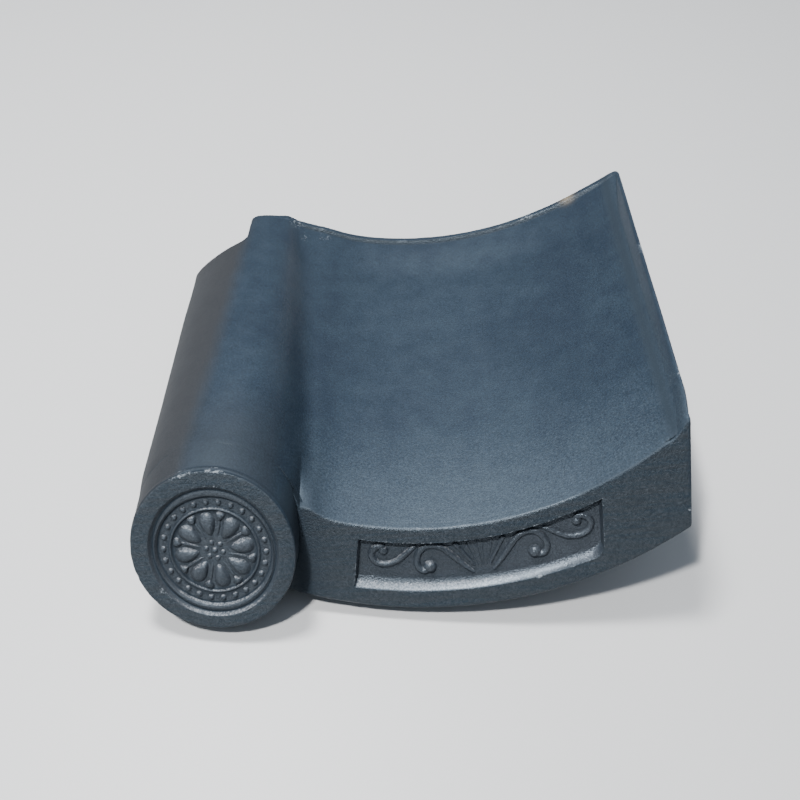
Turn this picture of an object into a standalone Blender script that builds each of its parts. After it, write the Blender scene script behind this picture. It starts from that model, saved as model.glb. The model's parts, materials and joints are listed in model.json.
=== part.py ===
"""An eave-end roof tile, fired in one piece: a curved pan, a hollow roll down its left side that ends in
a round medallion, and a plumb pendant with a sunk panel of scrollwork along the eave.

The tile is drawn in its own drawing frame: X across, Y up the roof from the pan's front edge to the tail,
Z out of the roof, with Z = 0 on the lowest line of the pan's upper side. The pendant's front face goes
through the X axis and leans by FACE_LEAN, so that it hangs plumb on a roof of ROOF_RISE. A parent empty then
seats the tile on level ground, on its medallion, its pendant and the hanging lug under its tail.
Metres, +Z up.
"""

import math

import bmesh
import bpy
from mathutils import Matrix, Vector

# Driving dimensions, across the tile
RIGHT_EDGE = 0.1604
WALL = 0.015
PAN_RADIUS_FRONT = 0.222
PAN_RADIUS_TAIL = 0.216
PAN_CENTRE = 0.028
PAN_START_FRONT = -0.040
PAN_START_TAIL = -0.051
RIB_WIDTH = 0.013
RIB_STEEPNESS = 1.6
RIB_PLACES = (1.0, 0.8, 0.6, 0.4)
RIB_HEIGHT_FRONT = 0.0020
RIB_HEIGHT_TAIL = 0.0045

# Along the tile
PAN_LENGTH = 0.272
ROOF_RISE = 0.5
FACE_LEAN = math.atan(ROOF_RISE)
SWEEP_START = 0.027
FRONT_OVERRUN = 0.060

# The roll: at the front it follows the medallion's rim, at the tail it is lower and flatter
MEDALLION_RADIUS = 0.0446
MEDALLION_CENTRE = Vector((-0.0902, 0.0038))
MEDALLION_PROUD = 0.020
ROLL_SWELL = 0.0010
TAIL_CROWN = Vector((-0.099, 0.038))
TAIL_LIP = Vector((-0.145, 0.010))
TAIL_LIP_INNER = Vector((0.012, -0.008))
TAIL_LIP_RISE = 0.006
TAIL_CROWN_REACH = 0.008
FRONT_SHOULDER = (0.044, 0.012)
TAIL_SHOULDER = (0.038, 0.031)
CIRCLE_HANDLE = 0.5523

# The tail: a raised lip that keeps water out, a gentle rise before it, and the corner cut for the next tile
TAIL_LIP_HEIGHT = 0.0035
TAIL_LIP_DEPTH = 0.006
TAIL_LIP_BEVEL = 0.003
TAIL_LIP_START = -0.072
TAIL_LIP_RAMP = 0.010
TAIL_RISE = 0.0035
TAIL_RISE_LENGTH = 0.045
NOTCH_LENGTH = 0.034
NOTCH_EDGE = -0.100
NOTCH_CORNER = 0.006
CROWN_CORNER = 0.006
LIP_CORNER = 0.004
TAIL_CORNER = 0.004
CORNER_ANGLES = (8, 30, 60, 82)

# The pendant, in its own face: across (X) and up the face
PENDANT_RADIUS = 0.240
PENDANT_CENTRE = 0.029
PENDANT_BOTTOM = -0.0473
PENDANT_THICKNESS = 0.016
PENDANT_LEFT = -0.100
PENDANT_OVERLAP = 0.007

# The sunk panel
PANEL_LEFT = -0.022
PANEL_RIGHT = 0.114
PANEL_DROP = 0.0090
PANEL_RAISE = 0.0105
PANEL_DEPTH = 0.0048
PANEL_TOP_BEVEL = 0.0012
PANEL_BOTTOM_BEVEL = 0.0050
PANEL_SLANT = 0.0050

# Scrollwork: mirrored scrolls about a central fan, in places along the panel's middle line and above it
SCROLL_CENTRE = 0.0485
SCROLL_RADIUS = 0.0019
SCROLL_END_SHARE = 0.55
SCROLL_BALL = 0.0028
SCROLL_LIFT = 0.0002
INNER_SCROLL = ((0.006, -0.0065), (0.013, 0.0015), (0.0195, 0.0080), (0.027, 0.0098), (0.0335, 0.0060),
                (0.0355, -0.0010), (0.0330, -0.0062), (0.0280, -0.0055), (0.0270, -0.0020))
OUTER_SCROLL = ((0.0345, 0.0088), (0.0410, 0.0028), (0.0480, -0.0018), (0.0545, -0.0030), (0.0590, 0.0008),
                (0.0585, 0.0058), (0.0540, 0.0082), (0.0500, 0.0065))
FAN_FOOT = -0.0045
FAN_RAYS = ((0.0, 0.0020, 0.0095), (-0.30, 0.0020, 0.0130), (0.30, 0.0020, 0.0130))

# The medallion, in shares of its radius
DISH_PROFILE = ((0.725, -0.0032), (0.70, -0.0010), (0.675, -0.0032), (0.545, -0.0032), (0.52, -0.0016),
                (0.495, -0.0034), (0.0, -0.0034))
DISH_SHARE = 0.74
BEADS = 26
BEAD_RING = 0.615
BEAD_RADIUS = 0.0017
BEAD_TURN = 91.5
PETALS = 8
PETAL_TURN = 6.0
PETAL_INNER = 0.20
PETAL_OUTER = 0.475
PETAL_WIDTH = 0.0062
PETAL_HEIGHT = 0.0020
WEDGE_PLACE = 0.445
WEDGE_WIDTH = 0.0042
WEDGE_HEIGHT = 0.0012
EYE_DOTS = 6
EYE_RING = 0.10
EYE_RADIUS = 0.0015
EYE_TURN = 44.0
DISC_THICKNESS = 0.022
DISC_DRAFT = 0.0015
BARREL_DEPTH = 0.030
BARREL_TAPER = 0.006

# The hanging lug under the tail, which hooks behind a batten
LUG_CENTRE = 0.045
LUG_WIDTH = 0.060
LUG_THICKNESS = 0.014
LUG_INSET = 0.004
LUG_DEPTH = 0.016

# Facets, and how deep a raised shape's foot goes into the surface it stands on
EMBED = 0.0006
ROLL_STEPS = 11
PAN_STEPS = 14
SWEEP_STATIONS = 6
RIM_FACETS = 52
DOME_FACETS = 7
PETAL_FACETS = 10
DOME_RINGS = ((1.0, -EMBED), (0.95, 0.35), (0.65, 0.82), (0.25, 1.0))
SCROLL_FACETS = 6
SCROLL_STEPS = 14
PANEL_STEPS = 16
CLEAR = 0.010

ACROSS = Vector((1.0, 0.0, 0.0))
UP_FACE = Vector((0.0, math.sin(FACE_LEAN), math.cos(FACE_LEAN)))
OUT_OF_FACE = Vector((0.0, -math.cos(FACE_LEAN), math.sin(FACE_LEAN)))
UP_ROOF = Vector((0.0, 1.0, 0.0))


def clear_scene():
    for obj in list(bpy.data.objects):
        bpy.data.objects.remove(obj, do_unlink=True)


def smoothstep(share):
    share = min(max(share, 0.0), 1.0)
    return share * share * (3.0 - 2.0 * share)


def on_face(x, up, out=0.0):
    """A point given across and up the pendant's face, and how far it stands out of it."""
    return ACROSS * x + UP_FACE * up + OUT_OF_FACE * out


def bezier(start, leave, arrive, end, steps):
    points = []
    for i in range(steps + 1):
        t = i / steps
        s = 1.0 - t
        points.append(start * s**3 + leave * (3 * s * s * t) + arrive * (3 * s * t * t) + end * t**3)
    return points


def pan_height(x, share=0.0, below=0.0):
    """The pan's upper side at a share of the way to the tail, or the surface a given depth below it."""
    radius = PAN_RADIUS_FRONT + (PAN_RADIUS_TAIL - PAN_RADIUS_FRONT) * share
    return radius - math.sqrt((radius + below) ** 2 - (x - PAN_CENTRE) ** 2)


def pan_slope(x):
    rise = (x - PAN_CENTRE) / PAN_RADIUS_FRONT
    return Vector((math.sqrt(1.0 - rise * rise), rise))


def pendant_height(x):
    return PENDANT_BOTTOM + PENDANT_RADIUS - math.sqrt(PENDANT_RADIUS**2 - (x - PENDANT_CENTRE) ** 2)


def roll_ends():
    """The roll's guide points at the front and at the tail: lip, crown, and where the pan starts."""
    radius = MEDALLION_RADIUS + ROLL_SWELL
    tall = radius * math.cos(FACE_LEAN)
    centre = MEDALLION_PROUD * math.sin(FACE_LEAN) + MEDALLION_CENTRE.y * math.cos(FACE_LEAN)
    lip = Vector((MEDALLION_CENTRE.x - radius, centre))
    crown = Vector((MEDALLION_CENTRE.x, centre + tall))
    front = {
        "lip": lip,
        "lip_handle": Vector((0.0, tall * CIRCLE_HANDLE)),
        "crown": crown,
        "crown_handle": radius * CIRCLE_HANDLE,
        "shoulder": FRONT_SHOULDER,
        "start": PAN_START_FRONT,
        "inner": Vector((WALL, 0.0)),
        "share": 0.0,
    }
    tail = {
        "lip": TAIL_LIP,
        "lip_handle": Vector((0.0, TAIL_LIP_RISE)),
        "crown": TAIL_CROWN,
        "crown_handle": TAIL_CROWN_REACH,
        "shoulder": TAIL_SHOULDER,
        "start": PAN_START_TAIL,
        "inner": TAIL_LIP_INNER,
        "share": 1.0,
    }
    return front, tail


def roll_curves(end, wall):
    """The roll's upper outline (wall 0) or its hollow underside, as guide points for two curves."""
    inner = wall / WALL
    lip = end["lip"] + end["inner"] * inner
    crown = end["crown"] - Vector((0.0, wall))
    slope = pan_slope(end["start"])
    start = Vector((end["start"], pan_height(end["start"], end["share"]))) - Vector((-slope.y, slope.x)) * wall
    near, far = end["shoulder"]
    flank = (lip, lip + end["lip_handle"] * (1.0 - 0.4 * inner), crown - Vector((end["crown_handle"], 0.0)), crown)
    shoulder = (crown, crown + Vector((near * (1.0 - 0.3 * inner), 0.0)), start - slope * far, start)
    return flank, shoulder


def blended(front, tail, share):
    return [a.lerp(b, share) for a, b in zip(front, tail)]


def roll_outline(share, wall):
    """The roll's outline at a share of the way to the tail, from the lip to where the pan starts."""
    front, tail = roll_ends()
    flank_front, shoulder_front = roll_curves(front, wall)
    flank_tail, shoulder_tail = roll_curves(tail, wall)
    flank = bezier(*blended(flank_front, flank_tail, share), ROLL_STEPS)
    shoulder = bezier(*blended(shoulder_front, shoulder_tail, share), ROLL_STEPS)
    return flank + shoulder[1:]


def pan_steps(start):
    return [start + (RIGHT_EDGE + CLEAR - start) * i / PAN_STEPS for i in range(1, PAN_STEPS + 1)]


def rib_height(x, share):
    """The rounded rib along the right edge, which grows towards the tail."""
    height = RIB_HEIGHT_FRONT + (RIB_HEIGHT_TAIL - RIB_HEIGHT_FRONT) * share
    return height * smoothstep((x - RIGHT_EDGE + RIB_WIDTH) / RIB_WIDTH * RIB_STEEPNESS)


def tail_height(x, y):
    """The rise of the upper side before the tail, and the raised lip on the tail's edge."""
    across = smoothstep((x - TAIL_LIP_START) / TAIL_LIP_RAMP)
    rise = TAIL_RISE * smoothstep((y - PAN_LENGTH + TAIL_RISE_LENGTH) / TAIL_RISE_LENGTH)
    lip_from = PAN_LENGTH - TAIL_LIP_DEPTH - TAIL_LIP_BEVEL
    lip = TAIL_LIP_HEIGHT * min(max((y - lip_from) / TAIL_LIP_BEVEL, 0.0), 1.0)
    return across * (rise + lip * smoothstep((RIGHT_EDGE - x) / RIB_WIDTH))


def section(y):
    """The closed outline of the tile's body across the roof at Y, upper side first."""
    share = min(max((y - SWEEP_START) / (PAN_LENGTH - SWEEP_START), 0.0), 1.0)
    roll = roll_outline(share, 0.0)
    rib = [RIGHT_EDGE - RIB_WIDTH * place for place in RIB_PLACES]
    across = sorted(pan_steps(roll[-1].x) + rib)
    upper = roll + [Vector((x, pan_height(x, share))) for x in across]
    raised = [Vector((p.x, p.y + max(rib_height(p.x, share), tail_height(p.x, y)))) for p in upper]
    hollow = roll_outline(share, WALL)
    lower = hollow + [Vector((x, pan_height(x, share, WALL))) for x in pan_steps(hollow[-1].x)]
    return [Vector((p.x, y, p.y)) for p in raised + lower[::-1]]


def new_object(name, bm, material=None):
    bmesh.ops.remove_doubles(bm, verts=bm.verts, dist=1e-6)
    bmesh.ops.triangulate(bm, faces=bm.faces)
    bmesh.ops.recalc_face_normals(bm, faces=bm.faces)
    mesh = bpy.data.meshes.new(name)
    bm.to_mesh(mesh)
    bm.free()
    obj = bpy.data.objects.new(name, mesh)
    bpy.context.scene.collection.objects.link(obj)
    if material:
        mesh.materials.append(material)
    return obj


def add_loft(bm, rings):
    """A closed body through rings of points that match one to one."""
    rows = [[bm.verts.new(point) for point in ring] for ring in rings]
    count = len(rows[0])
    for near, far in zip(rows, rows[1:]):
        for i in range(count):
            j = (i + 1) % count
            bm.faces.new((near[i], near[j], far[j], far[i]))
    bm.faces.new(rows[0])
    bm.faces.new(rows[-1][::-1])


def lofted(name, rings, material=None):
    bm = bmesh.new()
    add_loft(bm, rings)
    return new_object(name, bm, material)


def as_helper(obj):
    obj.hide_render = True
    obj.display_type = "WIRE"
    return obj


def combine(body, helper, operation):
    modifier = body.modifiers.new(helper.name, "BOOLEAN")
    modifier.solver = "EXACT"
    modifier.operation = operation
    modifier.object = as_helper(helper)


def fired_clay():
    material = bpy.data.materials.new("smoked_clay")
    material.use_nodes = True
    shader = material.node_tree.nodes["Principled BSDF"]
    shader.inputs["Base Color"].default_value = (0.072, 0.094, 0.130, 1.0)
    shader.inputs["Roughness"].default_value = 0.55
    shader.inputs["Metallic"].default_value = 0.0
    return material


def body_shell(material):
    """The pan and the roll, swept from in front of the eave to the tail."""
    rise_from = PAN_LENGTH - TAIL_RISE_LENGTH
    lip_from = PAN_LENGTH - TAIL_LIP_DEPTH
    stations = [-FRONT_OVERRUN]
    stations += [SWEEP_START + (rise_from - SWEEP_START) * i / SWEEP_STATIONS for i in range(SWEEP_STATIONS + 1)]
    stations += [rise_from + TAIL_RISE_LENGTH * 0.4, lip_from - TAIL_LIP_BEVEL, lip_from, PAN_LENGTH]
    return lofted("eave_tile", [section(y) for y in stations], material)


def pendant():
    """The plate that hangs from the pan's front edge."""
    steps = [PENDANT_LEFT + (RIGHT_EDGE + CLEAR - PENDANT_LEFT) * i / PANEL_STEPS for i in range(PANEL_STEPS + 1)]
    top = [(x, (pan_height(x) - PENDANT_OVERLAP) / math.cos(FACE_LEAN)) for x in steps]
    bottom = [(x, pendant_height(x)) for x in steps[::-1]]
    outline = top + bottom
    return lofted("pendant", [[on_face(x, up, out) for x, up in outline] for out in (CLEAR, -PENDANT_THICKNESS)])


def slab(name, corner, axes, sizes):
    """A block from one corner along three axes."""
    a, b, c = [axis * size for axis, size in zip(axes, sizes)]
    near = [corner, corner + a, corner + a + b, corner + b]
    return lofted(name, [near, [point + c for point in near]])


def front_trim():
    return slab("front_trim", on_face(-0.3, -0.2, 0.0), (ACROSS, UP_FACE, OUT_OF_FACE), (0.6, 0.5, 0.2))


def side_trim():
    return slab("side_trim", Vector((RIGHT_EDGE, -0.2, -0.2)), (ACROSS, UP_ROOF, Vector((0, 0, 1))), (0.1, 0.7, 0.5))


def notch():
    """The cut in the tail's left corner, with a rounded inner corner."""
    front = PAN_LENGTH - NOTCH_LENGTH
    back = PAN_LENGTH + CLEAR
    left = TAIL_LIP.x - CLEAR
    outline = [Vector((NOTCH_EDGE, back, 0)), Vector((left, back, 0)), Vector((left, front, 0))]
    for i in range(5):
        angle = math.radians(-90 + 90 * i / 4)
        x = NOTCH_EDGE - NOTCH_CORNER + NOTCH_CORNER * math.cos(angle)
        y = front + NOTCH_CORNER + NOTCH_CORNER * math.sin(angle)
        outline.append(Vector((x, y, 0)))
    return lofted("notch", [[point + Vector((0, 0, z)) for point in outline] for z in (-0.1, 0.1)])


def corner_trim(name, x, y, toward_x, toward_y, radius):
    """Rounds one upright corner of the tile, given the sides of it that lie outside."""
    arc = []
    for angle in CORNER_ANGLES:
        turn = math.radians(angle)
        arc.append(Vector((math.cos(turn) - 1.0, math.sin(turn) - 1.0)) * radius)
    start = arc[0] * 1.5 - arc[1] * 0.5
    end = arc[-1] * 1.5 - arc[-2] * 0.5
    outline = [start] + arc + [end, Vector((end.x, CLEAR)), Vector((CLEAR, CLEAR)), Vector((CLEAR, start.y))]
    places = [(x + toward_x * point.x, y + toward_y * point.y) for point in outline]
    return lofted(name, [[Vector((px, py, z)) for px, py in places] for z in (-0.1, 0.1)])


def lip_edge(y):
    """Where the roll's outer lip lies at Y, before the notch is cut."""
    return section(y)[0].x


def rim_point(angle, radius, depth, barrel):
    """A point of the medallion's wall. Its upper half runs up the roof with the roll, and its lower
    half runs square back from the face."""
    flat = on_face(
        MEDALLION_CENTRE.x + radius * math.cos(angle),
        MEDALLION_CENTRE.y + radius * math.sin(angle),
        MEDALLION_PROUD,
    )
    upper = smoothstep(0.5 + math.sin(angle) / 0.6)
    along = UP_ROOF * (barrel / math.cos(FACE_LEAN))
    return flat + along * upper - OUT_OF_FACE * (depth * (1.0 - upper))


def rim_ring(taper_upper, taper_lower, depth, barrel):
    ring = []
    for i in range(RIM_FACETS):
        angle = math.tau * i / RIM_FACETS
        upper = smoothstep(0.5 + math.sin(angle) / 0.6)
        taper = taper_lower + (taper_upper - taper_lower) * upper
        ring.append(rim_point(angle, MEDALLION_RADIUS - taper, depth, barrel))
    return ring


def medallion():
    """The disc that closes the roll's front end."""
    rings = [
        rim_ring(0.0, 0.0, 0.0, 0.0),
        rim_ring(EMBED - ROLL_SWELL, DISC_DRAFT * 0.9, DISC_THICKNESS * 0.9, MEDALLION_PROUD + EMBED),
        rim_ring(BARREL_TAPER, DISC_DRAFT, DISC_THICKNESS, BARREL_DEPTH),
    ]
    return lofted("medallion", rings)


def medallion_frame(angle=0.0, share=0.0):
    """The frame of a place on the medallion's face: Y outwards along its radius, Z out of the face."""
    turn = math.radians(angle)
    outward = ACROSS * math.cos(turn) + UP_FACE * math.sin(turn)
    across = outward.cross(OUT_OF_FACE)
    place = on_face(MEDALLION_CENTRE.x, MEDALLION_CENTRE.y, MEDALLION_PROUD)
    place += outward * (share * MEDALLION_RADIUS)
    frame = Matrix((across, outward, OUT_OF_FACE)).transposed().to_4x4()
    return Matrix.Translation(place) @ frame


def dish():
    """The turned cutter that sinks the medallion's floor and leaves its rings standing."""
    bm = bmesh.new()
    foot, depth = DISH_PROFILE[0]
    mouth = DISH_SHARE - (DISH_SHARE - foot) * CLEAR / depth
    profile = [(0.0, CLEAR), (mouth, CLEAR)] + list(DISH_PROFILE)
    frame = medallion_frame()
    points = [frame @ Vector((share * MEDALLION_RADIUS, 0.0, height)) for share, height in profile]
    chain = [bm.verts.new(point) for point in points]
    edges = [bm.edges.new(pair) for pair in zip(chain, chain[1:])]
    bmesh.ops.spin(
        bm,
        geom=chain + edges,
        cent=frame.to_translation(),
        axis=OUT_OF_FACE,
        angle=math.tau,
        steps=RIM_FACETS,
        use_merge=True,
    )
    return new_object("dish", bm)


def add_dome(bm, frame, length, width, height, facets, taper=0.0):
    """A low oval dome on a short foot. Taper narrows the end that points to the frame's -Y."""
    rings = []
    for share, lift in DOME_RINGS:
        ring = []
        for i in range(facets):
            angle = math.tau * i / facets
            along = math.sin(angle) * share
            across = math.cos(angle) * share * (1.0 - taper * (1.0 - along) / 2)
            up = lift if lift < 0 else lift * height
            ring.append(frame @ Vector((across * width / 2, along * length / 2, up)))
        rings.append(ring)
    add_loft(bm, rings)


def floor_of(share):
    """The height of the medallion's floor at a share of its radius."""
    points = DISH_PROFILE[::-1]
    for (near, low), (far, high) in zip(points, points[1:]):
        if near <= share <= far:
            return low + (high - low) * (share - near) / (far - near)
    return 0.0


def sunk(frame, share):
    return frame @ Matrix.Translation((0.0, 0.0, floor_of(share)))


def medallion_relief():
    """Petals, wedges between them, the ring of beads and the dotted eye, standing on the dish."""
    bm = bmesh.new()
    bead = 2 * BEAD_RADIUS
    for i in range(BEADS):
        frame = medallion_frame(BEAD_TURN + 360.0 * i / BEADS, BEAD_RING)
        add_dome(bm, sunk(frame, BEAD_RING), bead, bead, BEAD_RADIUS, DOME_FACETS)
    middle = (PETAL_INNER + PETAL_OUTER) / 2
    length = (PETAL_OUTER - PETAL_INNER) * MEDALLION_RADIUS
    for i in range(PETALS):
        frame = medallion_frame(PETAL_TURN + 360.0 * i / PETALS, middle)
        add_dome(bm, sunk(frame, middle), length, PETAL_WIDTH, PETAL_HEIGHT, PETAL_FACETS, 0.45)
        frame = medallion_frame(PETAL_TURN + 360.0 * (i + 0.5) / PETALS, WEDGE_PLACE)
        add_dome(bm, sunk(frame, WEDGE_PLACE), WEDGE_WIDTH, WEDGE_WIDTH, WEDGE_HEIGHT, DOME_FACETS, 0.6)
    eye = 2 * EYE_RADIUS
    add_dome(bm, sunk(medallion_frame(), 0.0), eye, eye, EYE_RADIUS, DOME_FACETS)
    for i in range(EYE_DOTS):
        frame = medallion_frame(EYE_TURN + 360.0 * i / EYE_DOTS, EYE_RING)
        add_dome(bm, sunk(frame, EYE_RING), eye, eye, EYE_RADIUS, DOME_FACETS)
    return new_object("medallion_relief", bm)


def panel_outline(top, bottom, side):
    """The sunk panel's outline between the pan's curve and the pendant's, inset on each side."""
    left = PANEL_LEFT + side
    right = PANEL_RIGHT - side
    steps = [i / PANEL_STEPS for i in range(PANEL_STEPS + 1)]
    outline = []
    for share in steps:
        x = left + PANEL_SLANT + (right - left - PANEL_SLANT) * share
        outline.append((x, pan_height(x) / math.cos(FACE_LEAN) - PANEL_DROP - top))
    for share in steps[::-1]:
        x = left + (right - left) * share
        outline.append((x, pendant_height(x) + PANEL_RAISE + bottom))
    return outline


def panel():
    """The cutter of the sunk panel: steep above and at the ends, with a wide bevel below."""
    rings = []
    for out in (CLEAR, -PANEL_DEPTH):
        share = -out / PANEL_DEPTH
        outline = panel_outline(PANEL_TOP_BEVEL * share, PANEL_BOTTOM_BEVEL * share, PANEL_TOP_BEVEL * share)
        rings.append([on_face(x, up, out) for x, up in outline])
    return lofted("panel", rings)


def panel_middle(x):
    top = pan_height(x) / math.cos(FACE_LEAN) - PANEL_DROP - PANEL_TOP_BEVEL
    bottom = pendant_height(x) + PANEL_RAISE + PANEL_BOTTOM_BEVEL
    return (top + bottom) / 2


def panel_place(along, above, side=1.0):
    """A place on the panel's floor, given along its middle line from the fan and above that line."""
    x = SCROLL_CENTRE + side * along
    slope = (panel_middle(x + EMBED) - panel_middle(x - EMBED)) / (2 * EMBED)
    lean = math.atan(slope)
    return on_face(x - above * math.sin(lean), panel_middle(x) + above * math.cos(lean), SCROLL_LIFT - PANEL_DEPTH)


def through(points, steps):
    """A smooth run of steps through the given points."""
    padded = [points[0] * 2 - points[1]] + points + [points[-1] * 2 - points[-2]]
    spans = len(points) - 1
    run = []
    for i in range(steps + 1):
        place = min(i * spans / steps, spans - 1e-9)
        k = int(place)
        t = place - k
        a, b, c, d = padded[k : k + 4]
        bend = (a * 2 - b * 5 + c * 4 - d) * (t * t) + (b * 3 - a - c * 3 + d) * (t**3)
        run.append((b * 2 + (c - a) * t + bend) / 2)
    return run


def add_rope(bm, run, start_radius, end_radius):
    """A tapering round bar along a run of points that lies in the panel's floor."""
    rings = []
    last = len(run) - 1
    for i, point in enumerate(run):
        ahead = (run[min(i + 1, last)] - run[max(i - 1, 0)]).normalized()
        side = ahead.cross(OUT_OF_FACE)
        radius = start_radius + (end_radius - start_radius) * i / last
        ring = []
        for k in range(SCROLL_FACETS):
            angle = math.tau * (k + 0.5) / SCROLL_FACETS
            ring.append(point + side * (radius * math.cos(angle)) + OUT_OF_FACE * (radius * math.sin(angle)))
        rings.append(ring)
    add_loft(bm, rings)


def scroll(name, guide, side):
    bm = bmesh.new()
    run = through([panel_place(along, above, side) for along, above in guide], SCROLL_STEPS)
    add_rope(bm, run, SCROLL_RADIUS, SCROLL_RADIUS * SCROLL_END_SHARE)
    return new_object(name, bm)


def scroll_ball(name, guide, side):
    bm = bmesh.new()
    centre = panel_place(*guide[-1], side)
    bmesh.ops.create_icosphere(bm, subdivisions=2, radius=SCROLL_BALL, matrix=Matrix.Translation(centre))
    return new_object(name, bm)


def fan():
    """The three rays between the two inner scrolls."""
    bm = bmesh.new()
    for lean, low, high in FAN_RAYS:
        reach = 0.0045 * (1 if lean > 0 else -1 if lean < 0 else 0)
        near = panel_place(reach + low * math.sin(lean), FAN_FOOT + low)
        far = panel_place(reach + high * math.sin(lean) * 2.2, FAN_FOOT + high)
        add_rope(bm, through([near, (near + far) / 2, far], 3), SCROLL_RADIUS * 0.6, SCROLL_RADIUS)
    return new_object("fan", bm)


def seat_normal():
    """The upward normal of the ground that touches the medallion, the pendant and the lug."""
    disc = rim_ring(0.0, DISC_DRAFT, DISC_THICKNESS, BARREL_DEPTH) + rim_ring(0.0, 0.0, 0.0, 0.0)
    steps = [PENDANT_LEFT + (RIGHT_EDGE - PENDANT_LEFT) * i / 400 for i in range(401)]
    plate = [on_face(x, pendant_height(x), out) for x in steps for out in (0.0, -PENDANT_THICKNESS)]
    lug = Vector((LUG_CENTRE, PAN_LENGTH - LUG_INSET, pan_height(LUG_CENTRE, 1.0, WALL) - LUG_DEPTH))
    normal = Vector((0.0, 0.0, 1.0))
    for _ in range(20):
        disc_low = min(disc, key=normal.dot)
        plate_low = min(plate, key=normal.dot)
        normal = (plate_low - disc_low).cross(lug - disc_low).normalized()
    return normal, lug


def lug(normal, foot):
    """The hanging lug, its foot cut level with the ground."""
    corners = []
    for x in (LUG_CENTRE - LUG_WIDTH / 2, LUG_CENTRE + LUG_WIDTH / 2):
        for y in (foot.y - LUG_THICKNESS, foot.y):
            drop = normal.x * (x - foot.x) + normal.y * (y - foot.y)
            corners.append((Vector((x, y, foot.z - drop / normal.z)), Vector((x, y, pan_height(x, 1.0, WALL / 2)))))
    order = (0, 2, 3, 1)
    return lofted("lug", [[corners[i][0] for i in order], [corners[i][1] for i in order]])


def evaluated_points(obj):
    bpy.context.view_layer.update()
    evaluated = obj.evaluated_get(bpy.context.evaluated_depsgraph_get())
    mesh = evaluated.to_mesh()
    points = [evaluated.matrix_world @ vertex.co for vertex in mesh.vertices]
    evaluated.to_mesh_clear()
    return points


def seat(tile, normal):
    """Stands the tile on Z = 0, with the origin under the middle of its box."""
    ground = bpy.data.objects.new("ground", None)
    bpy.context.scene.collection.objects.link(ground)
    for obj in list(bpy.context.scene.collection.objects):
        if obj is not ground:
            obj.parent = ground
    ground.rotation_mode = "QUATERNION"
    ground.rotation_quaternion = normal.rotation_difference(Vector((0.0, 0.0, 1.0)))
    points = evaluated_points(tile)
    low = Vector([min(point[i] for point in points) for i in range(3)])
    high = Vector([max(point[i] for point in points) for i in range(3)])
    ground.location = -Vector(((low.x + high.x) / 2, (low.y + high.y) / 2, low.z))


def main():
    clear_scene()
    tile = body_shell(fired_clay())
    normal, foot = seat_normal()
    combine(tile, pendant(), "UNION")
    combine(tile, front_trim(), "DIFFERENCE")
    combine(tile, side_trim(), "DIFFERENCE")
    combine(tile, notch(), "DIFFERENCE")
    shoulder = PAN_LENGTH - NOTCH_LENGTH
    combine(tile, corner_trim("crown_corner", NOTCH_EDGE, PAN_LENGTH, -1, 1, CROWN_CORNER), "DIFFERENCE")
    combine(tile, corner_trim("lip_corner", lip_edge(shoulder), shoulder, -1, 1, LIP_CORNER), "DIFFERENCE")
    combine(tile, corner_trim("tail_corner", RIGHT_EDGE, PAN_LENGTH, 1, 1, TAIL_CORNER), "DIFFERENCE")
    combine(tile, lug(normal, foot), "UNION")
    combine(tile, medallion(), "UNION")
    combine(tile, dish(), "DIFFERENCE")
    combine(tile, medallion_relief(), "UNION")
    combine(tile, panel(), "DIFFERENCE")
    for name, side in (("left", -1.0), ("right", 1.0)):
        combine(tile, scroll(f"inner_scroll_{name}", INNER_SCROLL, side), "UNION")
        combine(tile, scroll_ball(f"inner_ball_{name}", INNER_SCROLL, side), "UNION")
        combine(tile, scroll(f"outer_scroll_{name}", OUTER_SCROLL, side), "UNION")
        combine(tile, scroll_ball(f"outer_ball_{name}", OUTER_SCROLL, side), "UNION")
    combine(tile, fan(), "UNION")
    seat(tile, normal)


main()
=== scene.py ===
"""The looks of the eave tile: a smoked clay tile with a curved pan, a hollow roll that ends in a round
medallion, and a plumb pendant with a sunk panel of scrollwork.

The shapes are worked out in the tile's own drawing frame (X across, Y up the roof, Z out of the roof) and
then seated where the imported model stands. Metres throughout.
"""

import json
import math
from functools import partial, reduce

import bmesh
import bpy
import numpy as np
from mathutils import Matrix, Vector, noise


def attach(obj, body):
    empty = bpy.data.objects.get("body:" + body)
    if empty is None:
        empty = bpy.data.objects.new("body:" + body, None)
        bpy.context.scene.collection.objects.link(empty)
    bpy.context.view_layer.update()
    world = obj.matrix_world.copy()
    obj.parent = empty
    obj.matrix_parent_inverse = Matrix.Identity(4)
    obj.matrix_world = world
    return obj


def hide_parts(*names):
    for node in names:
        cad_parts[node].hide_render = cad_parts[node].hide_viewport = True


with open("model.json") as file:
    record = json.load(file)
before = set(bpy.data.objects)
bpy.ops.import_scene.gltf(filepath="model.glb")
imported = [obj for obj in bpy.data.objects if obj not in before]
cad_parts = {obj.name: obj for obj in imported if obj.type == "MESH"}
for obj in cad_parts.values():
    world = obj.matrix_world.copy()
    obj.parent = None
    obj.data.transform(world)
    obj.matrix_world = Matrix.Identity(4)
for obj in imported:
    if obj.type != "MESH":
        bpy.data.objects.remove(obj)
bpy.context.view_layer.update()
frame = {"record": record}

MM = 0.001


def mm(*sizes):
    """Sizes given in millimetres."""
    return tuple(size * MM for size in sizes)


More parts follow.
